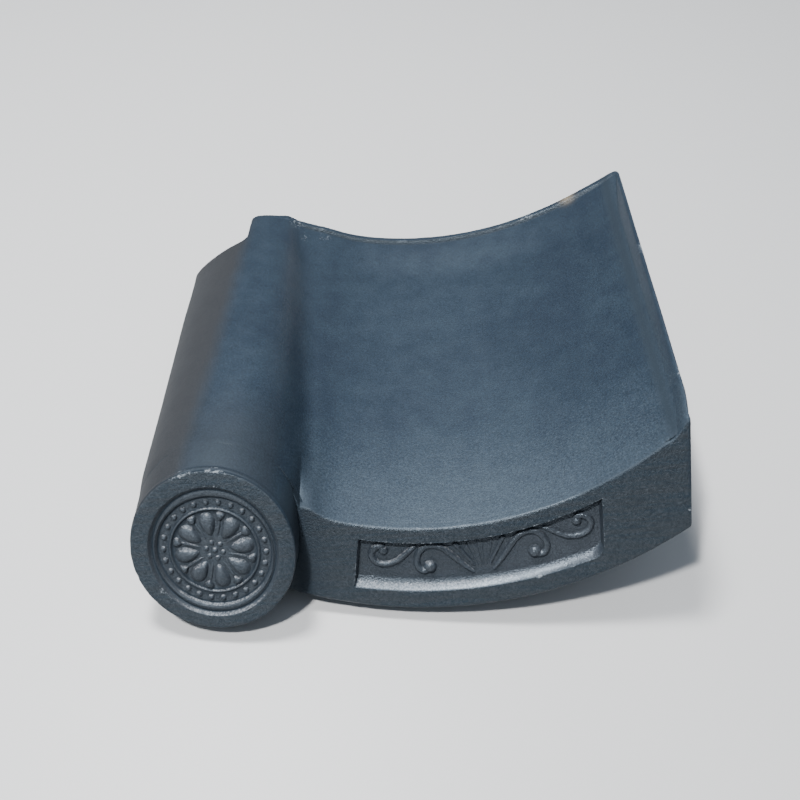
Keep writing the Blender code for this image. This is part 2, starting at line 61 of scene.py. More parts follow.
# The tile's driving sizes, much as the CAD part has them. The pan's radius and the rib's height are pairs, one
# for the front and one for the tail.
RIGHT_EDGE = 160.4 * MM
WALL = 15 * MM
PAN_RADIUS = mm(222, 216)
PAN_CENTRE = 28 * MM
RIB_WIDTH = 13 * MM
RIB_FOOT = 6.8 * MM
RIB_RISE = 5 * MM
RIB_GROOVE = 0.9 * MM
RIB_GROOVE_REACH = 3.0 * MM
RIB_HEIGHT = mm(2.6, 4.5)
PAN_LENGTH = 272 * MM
FACE_LEAN = math.atan(0.5)
SWEEP_START = 27 * MM
MEDALLION_RADIUS = 44.6 * MM
MEDALLION_X = -90.2 * MM
MEDALLION_UP = 3.8 * MM
MEDALLION_PROUD = 20 * MM
ROLL_SWELL = 1.0 * MM
RIGHT_TAPER = 2.5 * MM
CIRCLE_HANDLE = 0.5523
TAIL_BAND_HEIGHT = 2.1 * MM
TAIL_BAND_DEPTH = 3.8 * MM
TAIL_BAND_BEVEL = 1.8 * MM
TAIL_BAND_START = -82 * MM
TAIL_BAND_RAMP = 22 * MM
TAIL_BAND_FADE = 26 * MM
TAIL_BAND_LEFT_OVER = 0.3
TAIL_RISE = 4.4 * MM
TAIL_RISE_LENGTH = 45 * MM
NOTCH_LENGTH = 34 * MM
NOTCH_EDGE = -100 * MM
PENDANT_RADIUS = 240 * MM
PENDANT_CENTRE = 29 * MM
PENDANT_BOTTOM = -47.3 * MM
PENDANT_THICKNESS = 16 * MM
PENDANT_LEFT = -100 * MM
PENDANT_BACK_MOUNT = mm(30, -28)

SIN_LEAN, COS_LEAN, TAN_LEAN = math.sin(FACE_LEAN), math.cos(FACE_LEAN), math.tan(FACE_LEAN)
UP_FACE = np.array((0.0, SIN_LEAN, COS_LEAN))
OUT_OF_FACE = np.array((0.0, -COS_LEAN, SIN_LEAN))

ROLL_RADIUS = MEDALLION_RADIUS + ROLL_SWELL
ROLL_TALL = ROLL_RADIUS * COS_LEAN
ROLL_MIDDLE = MEDALLION_PROUD * SIN_LEAN + MEDALLION_UP * COS_LEAN

# Guides for the roll's outline at the front, where it fits the medallion, and at the tail: its lip, how the
# lip rises and where its inner side is, its crown and how widely that turns, its shoulder's pull, and the
# pan's start
ROLL_GUIDES = (
    dict(
        lip=(MEDALLION_X - ROLL_RADIUS, ROLL_MIDDLE), lip_rise=ROLL_TALL * CIRCLE_HANDLE, inner=(WALL, 0.0),
        crown=(MEDALLION_X, ROLL_MIDDLE + ROLL_TALL), reach=ROLL_RADIUS * CIRCLE_HANDLE,
        shoulder=mm(44, 12), start=-40 * MM,
    ),
    dict(
        lip=mm(-145, 10), lip_rise=6 * MM, inner=mm(12, -8), crown=mm(-99, 38),
        reach=8 * MM, shoulder=mm(38, 31), start=-51 * MM,
    ),
)


def smoothstep(share):
    share = np.clip(share, 0.0, 1.0)
    return share * share * (3.0 - 2.0 * share)


def rising(value, low, high):
    """0 at the low value and 1 at the high one, eased in between. It falls where low is the higher."""
    return smoothstep((value - low) / (high - low))


def hump(value, middle, reach):
    """1 at the middle, fading out over the reach on either side."""
    return np.exp(-(((value - middle) / reach) ** 2))


def stations(start, *stretches):
    """Places from a start through stretches, each given by its end and how many steps it takes."""
    places = [np.array((start,), float)]
    for end, steps in stretches:
        places.append(np.linspace(places[-1][-1], end, steps + 1)[1:])
    return np.concatenate(places)


def mount(name):
    return next(m for m in frame["record"]["mounts"] if m["name"] == name)


def seat():
    """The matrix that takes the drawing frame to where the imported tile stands."""
    to_right = Vector(mount("right_side")["axis"])
    up_roof = Vector(mount("tail_end")["axis"])
    turn = Matrix((to_right, up_roof, to_right.cross(up_roof))).transposed()
    back = mount("pendant_back")
    across, up = PENDANT_BACK_MOUNT
    place = Vector(np.array((across, 0.0, 0.0)) + up * UP_FACE - PENDANT_THICKNESS * OUT_OF_FACE)
    return Matrix.Translation(Vector(back["pos_m"]) - turn @ place) @ turn.to_4x4()


SEAT = seat()
TURN = np.array(SEAT.to_3x3())
UNSEAT = np.array(SEAT.inverted())
SEATED_UP = np.array(SEAT.to_3x3() @ Vector(UP_FACE))
SEATED_OUT = np.array(SEAT.to_3x3() @ Vector(OUT_OF_FACE))


# --- Meshes from rows of points ---

MERGE_DISTANCE = 0.001 * MM
SHARP_ANGLE = math.radians(38)


def rows_mesh(name, rows, end_faces=None):
    """A closed body through rows of points that match one to one, each row a ring. The rows are seated here."""
    count = len(rows[0])
    points = np.concatenate(rows)
    points = points @ TURN.T + np.array(SEAT.translation)
    faces = []
    for row in range(len(rows) - 1):
        for i in range(count):
            j = (i + 1) % count
            faces.append((row * count + i, row * count + j, (row + 1) * count + j, (row + 1) * count + i))
    last = (len(rows) - 1) * count
    for face in end_faces or [range(count)]:
        faces += [tuple(face)[::-1], tuple(last + i for i in face)]
    mesh = bpy.data.meshes.new(name)
    mesh.from_pydata(points.tolist(), [], faces)
    return finished(name, mesh)


def placed(name, data):
    """A new object in the scene."""
    obj = bpy.data.objects.new(name, data)
    bpy.context.scene.collection.objects.link(obj)
    return obj


def finished(name, mesh, wear=1.0):
    """The mesh closed, turned outwards, weathered and smoothed, as an object at the origin."""
    bm = bmesh.new()
    bm.from_mesh(mesh)
    bmesh.ops.remove_doubles(bm, verts=bm.verts, dist=MERGE_DISTANCE)
    bmesh.ops.recalc_face_normals(bm, faces=bm.faces)
    bm.to_mesh(mesh)
    bm.free()
    weathered(mesh, wear)
    mesh.shade_smooth()
    mesh.set_sharp_from_angle(angle=SHARP_ANGLE)
    mesh.materials.clear()
    mesh.materials.append(clay)
    return placed(name, mesh)


def bezier(start, leave, arrive, end, steps):
    t = np.linspace(0.0, 1.0, steps + 1)[:, None]
    start, leave, arrive, end = (np.array(p) for p in (start, leave, arrive, end))
    s = 1.0 - t
    return start * s**3 + leave * 3 * s * s * t + arrive * 3 * s * t * t + end * t**3


def trimmed(run, at_start, at_end):
    """The same points pushed along their own line, so that the line ends short on each side."""
    lengths = np.concatenate(([0.0], np.cumsum(np.linalg.norm(np.diff(run, axis=0), axis=1))))
    places = at_start + lengths / lengths[-1] * (lengths[-1] - at_start - at_end)
    return np.stack([np.interp(places, lengths, run[:, k]) for k in range(run.shape[1])], axis=1)


def rounded(start, corner, end, shares):
    """Points round a corner, from a start to an end on the two lines that meet there."""
    t = np.asarray(shares)[:, None]
    return start * (1 - t) ** 2 + corner * 2 * t * (1 - t) + end * t * t


def rounded_ring(runs, radii, steps):
    """One closed outline from runs that meet end to end, with the corner after each run rounded."""
    ring = []
    short = [trimmed(run, radii[i - 1], radii[i]) for i, run in enumerate(runs)]
    shares = np.linspace(0.0, 1.0, steps + 2)[1:-1]
    for i, run in enumerate(short):
        ring += [run, rounded(run[-1], runs[i][-1], short[(i + 1) % len(short)][0], shares)]
    return np.concatenate(ring)


# --- The shell: pan and roll ---

FLANK_STEPS = 54
SHOULDER_STEPS = 50
PAN_STEPS = 96
RIB_STEPS = 26
RUN_COUNT = FLANK_STEPS + SHOULDER_STEPS + PAN_STEPS + 1
SIDE_STEPS = 6
LIP_STEPS = 12
CORNER_STEPS = 5
EDGE_RADII = mm(3.2, 1.5, 2.0, 2.5)
SEAM_OUT_PAN = -4.0 * MM
SEAM_REACH = 2.5 * MM
SEAM_DIP = 0.35 * MM
BLEND_LENGTH = 36 * MM
FOOT_FILLET = 3 * MM
BEHIND_PANEL = -8.0 * MM
BEHIND_DISC = -1.0 * MM
HIDDEN_STEP = 3 * MM
CLOSE_TO_TAIL = 16 * MM
TAIL_CORNER = 8 * MM
NOTCH_CORNER = 6 * MM
LIP_CORNER = 1.5 * MM
NOTCH_REACH = mm(-110, -76)
NOTCH_CROWDING = 1.2
NOTCH_SWEEP = 0.55
TAIL_EDGE = 1.0 * MM
RIGHT_BOW = 2.1 * MM
LEFT_BOW = 1.4 * MM

# How the valley beside the roll fills out at the front and the tail: how much, about which X, how widely
VALLEY_LIFTS = (mm(3.0, -43, 8.5), mm(2.7, -51, 17))

# Where one thing gives way to another, from the first value to the second, in X unless it's said otherwise
ROLL_BEGINS = mm(-54, -60)
BARREL_BEGINS = mm(-36, -42)
BARREL_SHARES = (0.0, 0.4)
PENDANT_HIDES = mm(-49, -53)
RIGHT_BOW_X = mm(100, 160)
RIGHT_BOW_Y = mm(20, 50)
LEFT_BOW_X = mm(-95, -135)
LEFT_BOW_Y = mm(10, 30)
LEFT_BOW_END_Y = mm(232, 172)


def at_share(pair, share):
    front, tail = pair
    return front + (tail - front) * share


def pan_height(x, share=0.0, below=0.0):
    radius = at_share(PAN_RADIUS, share)
    return radius - np.sqrt((radius + below) ** 2 - (x - PAN_CENTRE) ** 2)


def rib_height(x, share):
    """The rounded rib along the right edge, which grows towards the tail, and the shallow groove inside it."""
    into = RIGHT_EDGE - x
    groove = RIB_GROOVE * hump(into, RIB_FOOT + RIB_GROOVE_REACH, RIB_GROOVE_REACH)
    return at_share(RIB_HEIGHT, share) * rising(into, RIB_FOOT, RIB_FOOT - RIB_RISE) - groove


def roll_run(share, wall):
    """The roll's outline at the front (share 0) or the tail (share 1), from the lip to where the pan starts."""
    guides = ROLL_GUIDES[share]
    inner = wall / WALL
    lip = np.array(guides["lip"]) + np.array(guides["inner"]) * inner
    crown = np.array(guides["crown"]) - (0.0, wall)
    rise = (guides["start"] - PAN_CENTRE) / PAN_RADIUS[0]
    slope = np.array((math.sqrt(1.0 - rise * rise), rise))
    start = np.array((guides["start"], pan_height(guides["start"], share)))
    start = start - np.array((-slope[1], slope[0])) * wall
    near, far = guides["shoulder"]
    lip_handle = (0.0, guides["lip_rise"] * (1.0 - 0.4 * inner))
    flank = bezier(lip, lip + lip_handle, crown - (guides["reach"], 0.0), crown, FLANK_STEPS)
    leave = crown + (near * (1.0 - 0.3 * inner), 0.0)
    shoulder = bezier(crown, leave, start - slope * far, start, SHOULDER_STEPS)
    return np.concatenate((flank, shoulder[1:]))


def pan_run(start, share, below):
    """The pan's outline from where it starts to the right edge, closer spaced over the rib."""
    rib = RIGHT_EDGE - RIB_WIDTH
    x = stations(start, (rib, PAN_STEPS - RIB_STEPS), (RIGHT_EDGE, RIB_STEPS))[1:]
    z = pan_height(x, share, below)
    if below == 0.0:
        z = z + rib_height(x, share)
    return np.stack((x, z), axis=1)


def valley_lift(x, share):
    """How far the valley beside the roll is filled, at the front (share 0) or the tail (share 1)."""
    lift, middle, reach = VALLEY_LIFTS[share]
    return lift * hump(x, middle, reach)


def shell_ring(share):
    roll = roll_run(share, 0.0)
    upper = np.concatenate((roll, pan_run(roll[-1][0], share, 0.0)))
    upper[:, 1] += valley_lift(upper[:, 0], share)
    hollow = roll_run(share, WALL)
    lower = np.concatenate((hollow, pan_run(hollow[-1][0], share, WALL)))
    side = np.linspace(upper[-1], lower[-1], SIDE_STEPS + 1)
    lip = np.linspace(lower[0], upper[0], LIP_STEPS + 1)
    return rounded_ring([upper, side, lower[::-1], lip], EDGE_RADII, CORNER_STEPS)


RING_FRONT = shell_ring(0)
RING_TAIL = shell_ring(1)
LOWER_FIRST = RUN_COUNT + CORNER_STEPS + SIDE_STEPS + 1 + CORNER_STEPS
LOWER_LAST = LOWER_FIRST + RUN_COUNT - 1
UPPER_SIDE = np.zeros(len(RING_FRONT))
UPPER_SIDE[: RUN_COUNT + 3] = 1.0


def tail_height(x, y):
    """The rise of the upper side before the tail, and the raised band on the tail's edge."""
    across = rising(x, TAIL_BAND_START, TAIL_BAND_START + TAIL_BAND_RAMP)
    rise = TAIL_RISE * rising(y, PAN_LENGTH - TAIL_RISE_LENGTH, PAN_LENGTH)
    band_top = PAN_LENGTH - TAIL_BAND_DEPTH
    band = TAIL_BAND_HEIGHT * rising(y, band_top - TAIL_BAND_BEVEL, band_top)
    to_right = rising(x, RIGHT_EDGE, RIGHT_EDGE - TAIL_BAND_FADE)
    return across * (rise + band * (TAIL_BAND_LEFT_OVER + (1 - TAIL_BAND_LEFT_OVER) * to_right))


def ring_share(y):
    """How far the outline has changed from the front's to the tail's, at a place along the roof."""
    return np.clip((y - SWEEP_START) / (PAN_LENGTH - SWEEP_START), 0.0, 1.0)


def ring_at(order, share):
    """Points of the outline at places counted round it, whole or between two, and at a share each."""
    low = np.floor(order).astype(int)
    part = (order - low)[:, None]
    after = (low + 1) % len(RING_FRONT)
    front, tail = (ring[low] * (1 - part) + ring[after] * part for ring in (RING_FRONT, RING_TAIL))
    share = np.broadcast_to(share, order.shape)[:, None]
    return front * (1 - share) + tail * share


def inward_at(order, share):
    """The way into the wall, square to the outline."""
    count = len(RING_FRONT)
    run = ring_at((order + 0.5) % count, share) - ring_at((order - 0.5) % count, share)
    run /= np.maximum(np.linalg.norm(run, axis=1), 1e-9)[:, None]
    return np.stack((run[:, 1], -run[:, 0]), axis=1)


def corner_cut(into, radius):
    """How far a rounded corner pulls an edge back, at a distance in from the corner's outer side."""
    near = np.clip(radius - into, 0.0, radius)
    return radius - np.sqrt(radius * radius - near * near)


def notch_path(first_x, last_x, count):
    """Even places round the notch in plan, a rounded edge's width in from the cut: from the cut's front, by
    its inner corner, to the tail's edge. Each row holds X, Y and the way the cut faces there."""
    inner = NOTCH_CORNER + TAIL_EDGE
    outer = NOTCH_CORNER - TAIL_EDGE
    straight = NOTCH_LENGTH - 2 * NOTCH_CORNER
    legs = (NOTCH_EDGE - NOTCH_CORNER - first_x, math.pi / 2 * inner, straight, math.pi / 2 * outer,
            last_x - NOTCH_EDGE - NOTCH_CORNER)
    ends = np.cumsum((0.0,) + legs)
    front = PAN_LENGTH - NOTCH_LENGTH
    left = (NOTCH_EDGE - NOTCH_CORNER, front + NOTCH_CORNER)
    right = (NOTCH_EDGE + NOTCH_CORNER, PAN_LENGTH - NOTCH_CORNER)
    path = []
    for gone in np.linspace(0.0, 1.0, count) ** NOTCH_CROWDING * ends[-1]:
        leg = min(int(np.searchsorted(ends, gone, "right")) - 1, 4)
        along = gone - ends[leg]
        angle = along / (inner, inner, 1.0, outer, 1.0)[leg]
        sine, cosine = math.sin(angle), math.cos(angle)
        path.append((
            (first_x + along, front - TAIL_EDGE, 0.0, 1.0),
            (left[0] + inner * sine, left[1] - inner * cosine, -sine, cosine),
            (NOTCH_EDGE + TAIL_EDGE, left[1] + along, -1.0, 0.0),
            (right[0] - outer * cosine, right[1] + outer * sine, -cosine, sine),
            (right[0] + along, PAN_LENGTH - TAIL_EDGE, 0.0, 1.0),
        )[leg])
    return np.array(path)


def tail_ends():
    """Where each line along the shell ends: its place round the outline, its Y, and the way the cut faces."""
    count = len(RING_TAIL)
    order = np.arange(count, dtype=float)
    facing = np.tile((0.0, 1.0), (count, 1))
    notch_front = PAN_LENGTH - NOTCH_LENGTH
    left_x = ring_at(order, ring_share(notch_front))[:, 0]
    y = PAN_LENGTH - corner_cut(RIGHT_EDGE - RING_TAIL[:, 0], TAIL_CORNER) - TAIL_EDGE
    left_y = notch_front - corner_cut(left_x - left_x.min(), LIP_CORNER) - TAIL_EDGE
    y[LOWER_LAST:] = left_y[LOWER_LAST:]
    begin = int(np.searchsorted(left_x[:RUN_COUNT], NOTCH_REACH[0]))
    end = int(np.searchsorted(RING_TAIL[:RUN_COUNT, 0], NOTCH_REACH[1]))
    for run in (np.arange(RUN_COUNT), LOWER_LAST - np.arange(RUN_COUNT)):
        y[run[:begin]] = left_y[run[:begin]]
        notch = run[begin:end]
        path = notch_path(left_x[notch[0]], RING_TAIL[notch[-1], 0], len(notch))
        for i, (at_x, at_y, *way) in zip(notch, path):
            across = ring_at(run.astype(float), ring_share(at_y))[:, 0]
            order[i], y[i], facing[i] = np.interp(at_x, across, run), at_y, way
    return order, y, facing


def over_barrel(ring):
    """How far an outline's right shoulder stands above the medallion's round barrel and the pan beside it."""
    across = np.clip((ring[:, 0] - MEDALLION_X) / (ROLL_RADIUS - RIGHT_TAPER), 0.0, 1.0)
    barrel = ROLL_MIDDLE + ROLL_TALL * np.sqrt(1.0 - across * across)
    beside = pan_height(ring[:, 0]) + valley_lift(ring[:, 0], 0)
    higher = (barrel + beside + np.sqrt((barrel - beside) ** 2 + FOOT_FILLET**2)) / 2
    return (ring[:, 1] - higher) * rising(across, *BARREL_SHARES) * rising(ring[:, 0], *BARREL_BEGINS)


def front_top(x):
    """The height of the shell's upper side at the front, right of the crown."""
    run = RING_FRONT[FLANK_STEPS : RUN_COUNT + 3].copy()
    run[:, 1] -= over_barrel(run)
    order = np.argsort(run[:, 0], kind="stable")
    return np.interp(x, run[order, 0], run[order, 1])


def blended(ring, y):
    """How far the roll's right shoulder moves down before the medallion, to run into its round barrel."""
    out = -y * COS_LEAN + ring[:, 1] * SIN_LEAN
    return over_barrel(ring) * smoothstep(1.0 + out / BLEND_LENGTH) * UPPER_SIDE


def bowed(x, y):
    """How far the tile's two long edges stand out from straight, sideways."""
    right = RIGHT_BOW * rising(x, *RIGHT_BOW_X) * rising(y, *RIGHT_BOW_Y)
    return right - LEFT_BOW * rising(x, *LEFT_BOW_X) * rising(y, *LEFT_BOW_Y) * rising(y, *LEFT_BOW_END_Y)


def seam_place(x):
    """How far out of the face the shell's upper side ends, and how much of the roll is at that X."""
    on_roll = rising(x, *ROLL_BEGINS)
    return SEAM_OUT_PAN * (1.0 - on_roll), on_roll


def shell_rows():
    """Rows of points from the front, hidden in the pendant and the medallion, to the tail and its notch."""
    first = np.arange(len(RING_FRONT), dtype=float)
    last, end_y, facing = tail_ends()
    seam, on_roll = seam_place(RING_FRONT[:, 0])
    hidden = BEHIND_PANEL * (1.0 - on_roll) + BEHIND_DISC * on_roll
    front_out = np.where(UPPER_SIDE > 0, seam + SEAM_REACH, hidden)
    front_y = RING_FRONT[:, 1] * TAN_LEAN - front_out / COS_LEAN
    inside = RING_FRONT + inward_at(first, 0.0) * HIDDEN_STEP
    inside_y = inside[:, 1] * TAN_LEAN - np.minimum(hidden, front_out) / COS_LEAN
    rows = [np.stack((inside[:, 0], inside_y, inside[:, 1]), axis=1)]
    for place in stations(0, (0.04, 8), (1.0 - CLOSE_TO_TAIL / PAN_LENGTH, 89), (1, 21)):
        settled = np.clip((place - NOTCH_SWEEP) / (1 - NOTCH_SWEEP), 0, 1) ** 2
        order = first + (last - first) * settled
        y = front_y * (1 - place) + PAN_LENGTH * place - (PAN_LENGTH - end_y) * settled
        share = ring_share(y)
        inward = inward_at(order, share)
        ring = ring_at(order, share)
        out = -y * COS_LEAN + ring[:, 1] * SIN_LEAN
        ring = ring - (0.0, 1.0) * blended(ring, y)[:, None]
        dip = SEAM_DIP * (np.clip(out - seam, 0, None) / SEAM_REACH) ** 2 * UPPER_SIDE
        ring = ring + inward * dip[:, None]
        above = np.maximum(tail_height(ring[:, 0], y) - rib_height(ring[:, 0], share), 0.0) * UPPER_SIDE
        rows.append(np.stack((ring[:, 0] + bowed(ring[:, 0], y), y, ring[:, 1] + above), axis=1))
    edge = rows[-1]
    for turn in np.linspace(0, math.pi / 2, 5)[1:]:
        over = edge.copy()
        over[:, [0, 2]] += inward * TAIL_EDGE * (1 - math.cos(turn))
        over[:, :2] += facing * TAIL_EDGE * math.sin(turn)
        rows.append(over)
    return rows


def shell_ends():
    """The faces of either end: strips between the upper and the lower side, closed at the lip and the right."""
    strips = [(i, i + 1, LOWER_LAST - i - 1, LOWER_LAST - i) for i in range(RUN_COUNT - 1)]
    right = tuple(range(RUN_COUNT - 1, LOWER_FIRST + 1))
    left = tuple(range(LOWER_LAST, len(RING_TAIL))) + (0,)
    return strips + [right, left]


# --- The pendant ---

TOP_STRIP = 7 * MM
TOP_FILLET = 1.2 * MM
BOTTOM_FILLET = 1.8 * MM
END_FILLET = 1.0 * MM
HIDDEN_DROP = 8 * MM
BACK_DROP = 2 * MM
PANEL_LEFT = -17 * MM
PANEL_RIGHT = 114 * MM
PANEL_SLANT = 5 * MM
PANEL_DROP = 8.3 * MM
PANEL_RAISE = 10.5 * MM
PANEL_DEPTH = 4.8 * MM
PANEL_STEEP = 1.3 * MM
PANEL_BEVEL = 6.5 * MM
PANEL_CORNER = 6.0 * MM
BEVEL_NARROWS = 0.3
BEVEL_ROUNDS = 1.8


def pendant_bottom(x):
    return PENDANT_BOTTOM + PENDANT_RADIUS - np.sqrt(PENDANT_RADIUS**2 - (x - PENDANT_CENTRE) ** 2)


def pendant_top(x):
    """Up the face, where the shell's upper side meets it. Behind the medallion it stays inside the shell."""
    behind = rising(x, *PENDANT_HIDES)
    hidden = (pan_height(x) - HIDDEN_DROP) / COS_LEAN
    return front_top(x) / COS_LEAN * (1 - behind) + hidden * behind


def panel_depth(x, up, top, bottom):
    """How deep the sunk panel is at a place on the face, given the panel's own top and bottom there. Its
    walls are steep, but for the wide bevel below, which runs up round the corner at the right."""
    down = (top - up) / (top - bottom)
    left = x - (PANEL_LEFT - PANEL_SLANT * np.clip(down, 0, 1))
    bevel = PANEL_BEVEL * (1 - BEVEL_NARROWS * np.clip((x - PANEL_LEFT) / (PANEL_RIGHT - PANEL_LEFT), 0, 1))
    right = (PANEL_RIGHT - x) * bevel / PANEL_STEEP
    over = up - bottom - corner_cut(PANEL_RIGHT - x, PANEL_CORNER)
    near = np.minimum(right, over)
    walls = smoothstep(np.minimum(top - up, left) / PANEL_STEEP)
    slope = 1 - (1 - np.clip(near / bevel, 0, 1)) ** BEVEL_ROUNDS
    return PANEL_DEPTH * np.minimum(walls, slope)


def face_shares():
    """Places down the face between the panel's guide lines: above it, in it, and below it."""
    return np.linspace(0, 1, 12), stations(0, (0.10, 8), (0.70, 25), (1, 17))[1:], np.linspace(0, 1, 12)[1:]


def pendant_section(x, inset):
    """The pendant's closed outline at X, as places up the face and out of it."""
    top = pendant_top(x)
    bottom = pendant_bottom(x) + inset
    slope = np.array((SIN_LEAN, -COS_LEAN))
    strip = []
    for back in np.linspace(TOP_STRIP, TOP_FILLET, 7):
        dip = SEAM_DIP * (max(back * COS_LEAN + SEAM_OUT_PAN, 0.0) / SEAM_REACH) ** 2
        strip.append(np.array((top, 0.0)) + slope * back - (dip, 0.0))
    corner = np.array((top, -inset))
    turns = np.linspace(0, 1, 6)[1:]
    fillet = rounded(strip[-1], corner, corner - (TOP_FILLET, 0), turns[:-1])
    panel_top = top - PANEL_DROP
    panel_bottom = pendant_bottom(x) + PANEL_RAISE
    above, inside, below = face_shares()
    ups = np.concatenate((
        top - TOP_FILLET + above * (panel_top - top + TOP_FILLET),
        panel_top + inside * (panel_bottom - panel_top),
        panel_bottom + below * (bottom + BOTTOM_FILLET - panel_bottom),
    ))
    depth = panel_depth(x, ups, panel_top, panel_bottom)
    face = np.stack((ups, -depth - inset), axis=1)
    front_low = np.array((bottom, -inset))
    back_low = np.array((bottom, inset - PENDANT_THICKNESS))
    foot = rounded(face[-1], front_low, front_low - (0, BOTTOM_FILLET), turns)
    under = np.linspace(foot[-1], back_low + (0, BOTTOM_FILLET), 6)[1:]
    heel = rounded(under[-1], back_low, back_low + (BOTTOM_FILLET, 0), turns)
    back = np.linspace(heel[-1], (top - BACK_DROP, inset - PENDANT_THICKNESS), 10)[1:]
    return np.concatenate((strip, fillet, face, foot, under, heel, back))


def pendant_rows():
    """Sections from left to right, closer together over the panel's ends, and then round the far end."""
    across = stations(
        PENDANT_LEFT, (PANEL_LEFT - PANEL_SLANT - 1 * MM, 33), (PANEL_LEFT + 2 * MM, 21),
        (PANEL_RIGHT - PANEL_CORNER, 119), (PANEL_RIGHT + 0.6 * MM, 29), (RIGHT_EDGE - END_FILLET, 33),
    )
    sections = [(x, 0.0) for x in across]
    for angle in np.linspace(0, math.pi / 2, 6)[1:]:
        sections.append((RIGHT_EDGE - END_FILLET * (1 - math.sin(angle)), END_FILLET * (1 - math.cos(angle))))
    rows = []
    for x, inset in sections:
        section = pendant_section(x, inset)
        rows.append(np.array((x, 0, 0)) + section[:, :1] * UP_FACE + section[:, 1:] * OUT_OF_FACE)
    return rows


# --- The medallion ---

RIM_STEPS = 256
RIM_PROFILE_STEPS = 6
RIM_FILLET = 0.9 * MM
RIM_PULL = mm(0.7, 0.9)
RECESS_NARROW = 0.045
RELIEF_SHIFT = mm(-0.8, -0.4)
COLLAR = 1.0 * MM
COLLAR_ENDS = mm(4.1, 2.6)
DISC_THICKNESS = 22 * MM
DISC_TUCK = 0.4 * MM
DISC_UNDERCUT = (0.15, 3.0)
RIM_SHARE = 0.9
BARREL_PLACES = ((6 * MM, 9), (MEDALLION_PROUD, 8))

# Shares of the medallion's radius: where its recess narrows and is at its full width again, and where the
# relief's shift begins and is whole
NARROWS = (0.70, 0.77)
WIDENS = (0.93, 0.85)
SHIFTS = (0.95, 0.80)

# Up the disc's profile: the share of the medallion's radius, and the height against the rim in millimetres
DISC_PROFILE = (
    (0.955, 0.0), (0.90, 0.0), (0.86, 0.0), (0.838, 0.0), (0.832, -0.05), (0.826, -0.25), (0.819, -0.7),
    (0.811, -1.2), (0.803, -1.65), (0.795, -1.95), (0.787, -2.15), (0.779, -2.15), (0.771, -1.95),
    (0.762, -1.75), (0.752, -1.55), (0.741, -1.45), (0.73, -1.45), (0.719, -1.55), (0.709, -1.75), (0.7, -2.15),
    (0.693, -2.7), (0.687, -3.2), (0.68, -3.5), (0.66, -3.5), (0.6, -3.5), (0.56, -3.5), (0.551, -3.35),
    (0.545, -2.9), (0.539, -2.6), (0.532, -2.5), (0.525, -2.6), (0.519, -3.0), (0.513, -3.5), (0.505, -3.75),
    (0.46, -3.8), (0.38, -3.8), (0.3, -3.8), (0.22, -3.7), (0.14, -3.6), (0.06, -3.6),
)
DISC_ANGLES = np.arange(RIM_STEPS) * math.tau / RIM_STEPS
DISC_SINE, DISC_COSINE = np.sin(DISC_ANGLES), np.cos(DISC_ANGLES)
DISC_UPPER = rising(DISC_SINE, -0.3, 0.3)


def disc_ring(radius, height, back=0.0):
    """A ring of the medallion, whose relief isn't quite in its middle. Back is how far the barrel has run: its
    upper half up the roof with the roll, its lower half square back from the face."""
    share = np.max(radius) / MEDALLION_RADIUS
    wall = rising(share, *NARROWS) * rising(share, *WIDENS)
    radius = radius - RECESS_NARROW * wall * DISC_COSINE**2 * MEDALLION_RADIUS
    to_right = np.clip(DISC_COSINE, 0, None)
    back = np.broadcast_to(back, RIM_STEPS)[:, None]
    near_front = 1 - smoothstep(back[:, 0] / MEDALLION_PROUD)
    pull = (RIM_PULL[0] + RIM_PULL[1] * to_right**2) * near_front + RIGHT_TAPER * to_right * (1 - near_front)
    inside = rising(radius / MEDALLION_RADIUS, *SHIFTS)
    pull = pull * (radius > RIM_SHARE * MEDALLION_RADIUS)
    across = MEDALLION_X + radius * DISC_COSINE - pull + RELIEF_SHIFT[0] * inside
    up = MEDALLION_UP + radius * DISC_SINE + RELIEF_SHIFT[1] * inside
    flat = up[:, None] * UP_FACE + (MEDALLION_PROUD + height) * OUT_OF_FACE
    flat[:, 0] += across
    upper = DISC_UPPER[:, None]
    return flat + np.array((0.0, 1.0, 0.0)) * back / COS_LEAN * upper - OUT_OF_FACE * back * (1 - upper)


def disc_rows():
    """Rings from the medallion's middle, out over its rim with a slight collar, and back along the barrel."""
    lower = 1 - DISC_UPPER
    rows = [disc_ring(share * MEDALLION_RADIUS, height * MM) for share, height in DISC_PROFILE[::-1]]
    lifted = np.clip(DISC_SINE, 0, 1) ** 1.5
    rim = MEDALLION_RADIUS + COLLAR * lifted
    for turn in np.linspace(0, math.pi / 2, RIM_PROFILE_STEPS):
        rows.append(disc_ring(rim - RIM_FILLET * (1 - math.sin(turn)), -RIM_FILLET * (1 - math.cos(turn))))
    reach = MEDALLION_PROUD
    for back in stations(RIM_FILLET, *BARREL_PLACES)[1:]:
        collar = COLLAR * rising(back, *COLLAR_ENDS)
        swell = smoothstep(back / reach) * (ROLL_SWELL * DISC_UPPER - DISC_TUCK * lower)
        rows.append(disc_ring(MEDALLION_RADIUS + collar * lifted + swell, 0.0, back))
    for past in np.linspace(0, 1, 5)[1:]:
        swell = (ROLL_SWELL - SEAM_DIP * 4 * past**2) * DISC_UPPER - (DISC_TUCK + MM * past) * lower
        deep = reach + (DISC_THICKNESS - reach) * past * at_share(DISC_UNDERCUT, DISC_UPPER)
        rows.append(disc_ring(MEDALLION_RADIUS + swell, 0.0, deep))
    return rows


# --- The hanging lug under the tail ---

LUG_CENTRE = 45 * MM
LUG_WIDTH = 60 * MM
LUG_THICKNESS = 14 * MM
LUG_INSET = 4 * MM
LUG_CORNER = 3 * MM
LUG_CORNER_STEPS = 7
LUG_ROOT = 4 * MM
LUG_CLEAR = 0.3 * MM

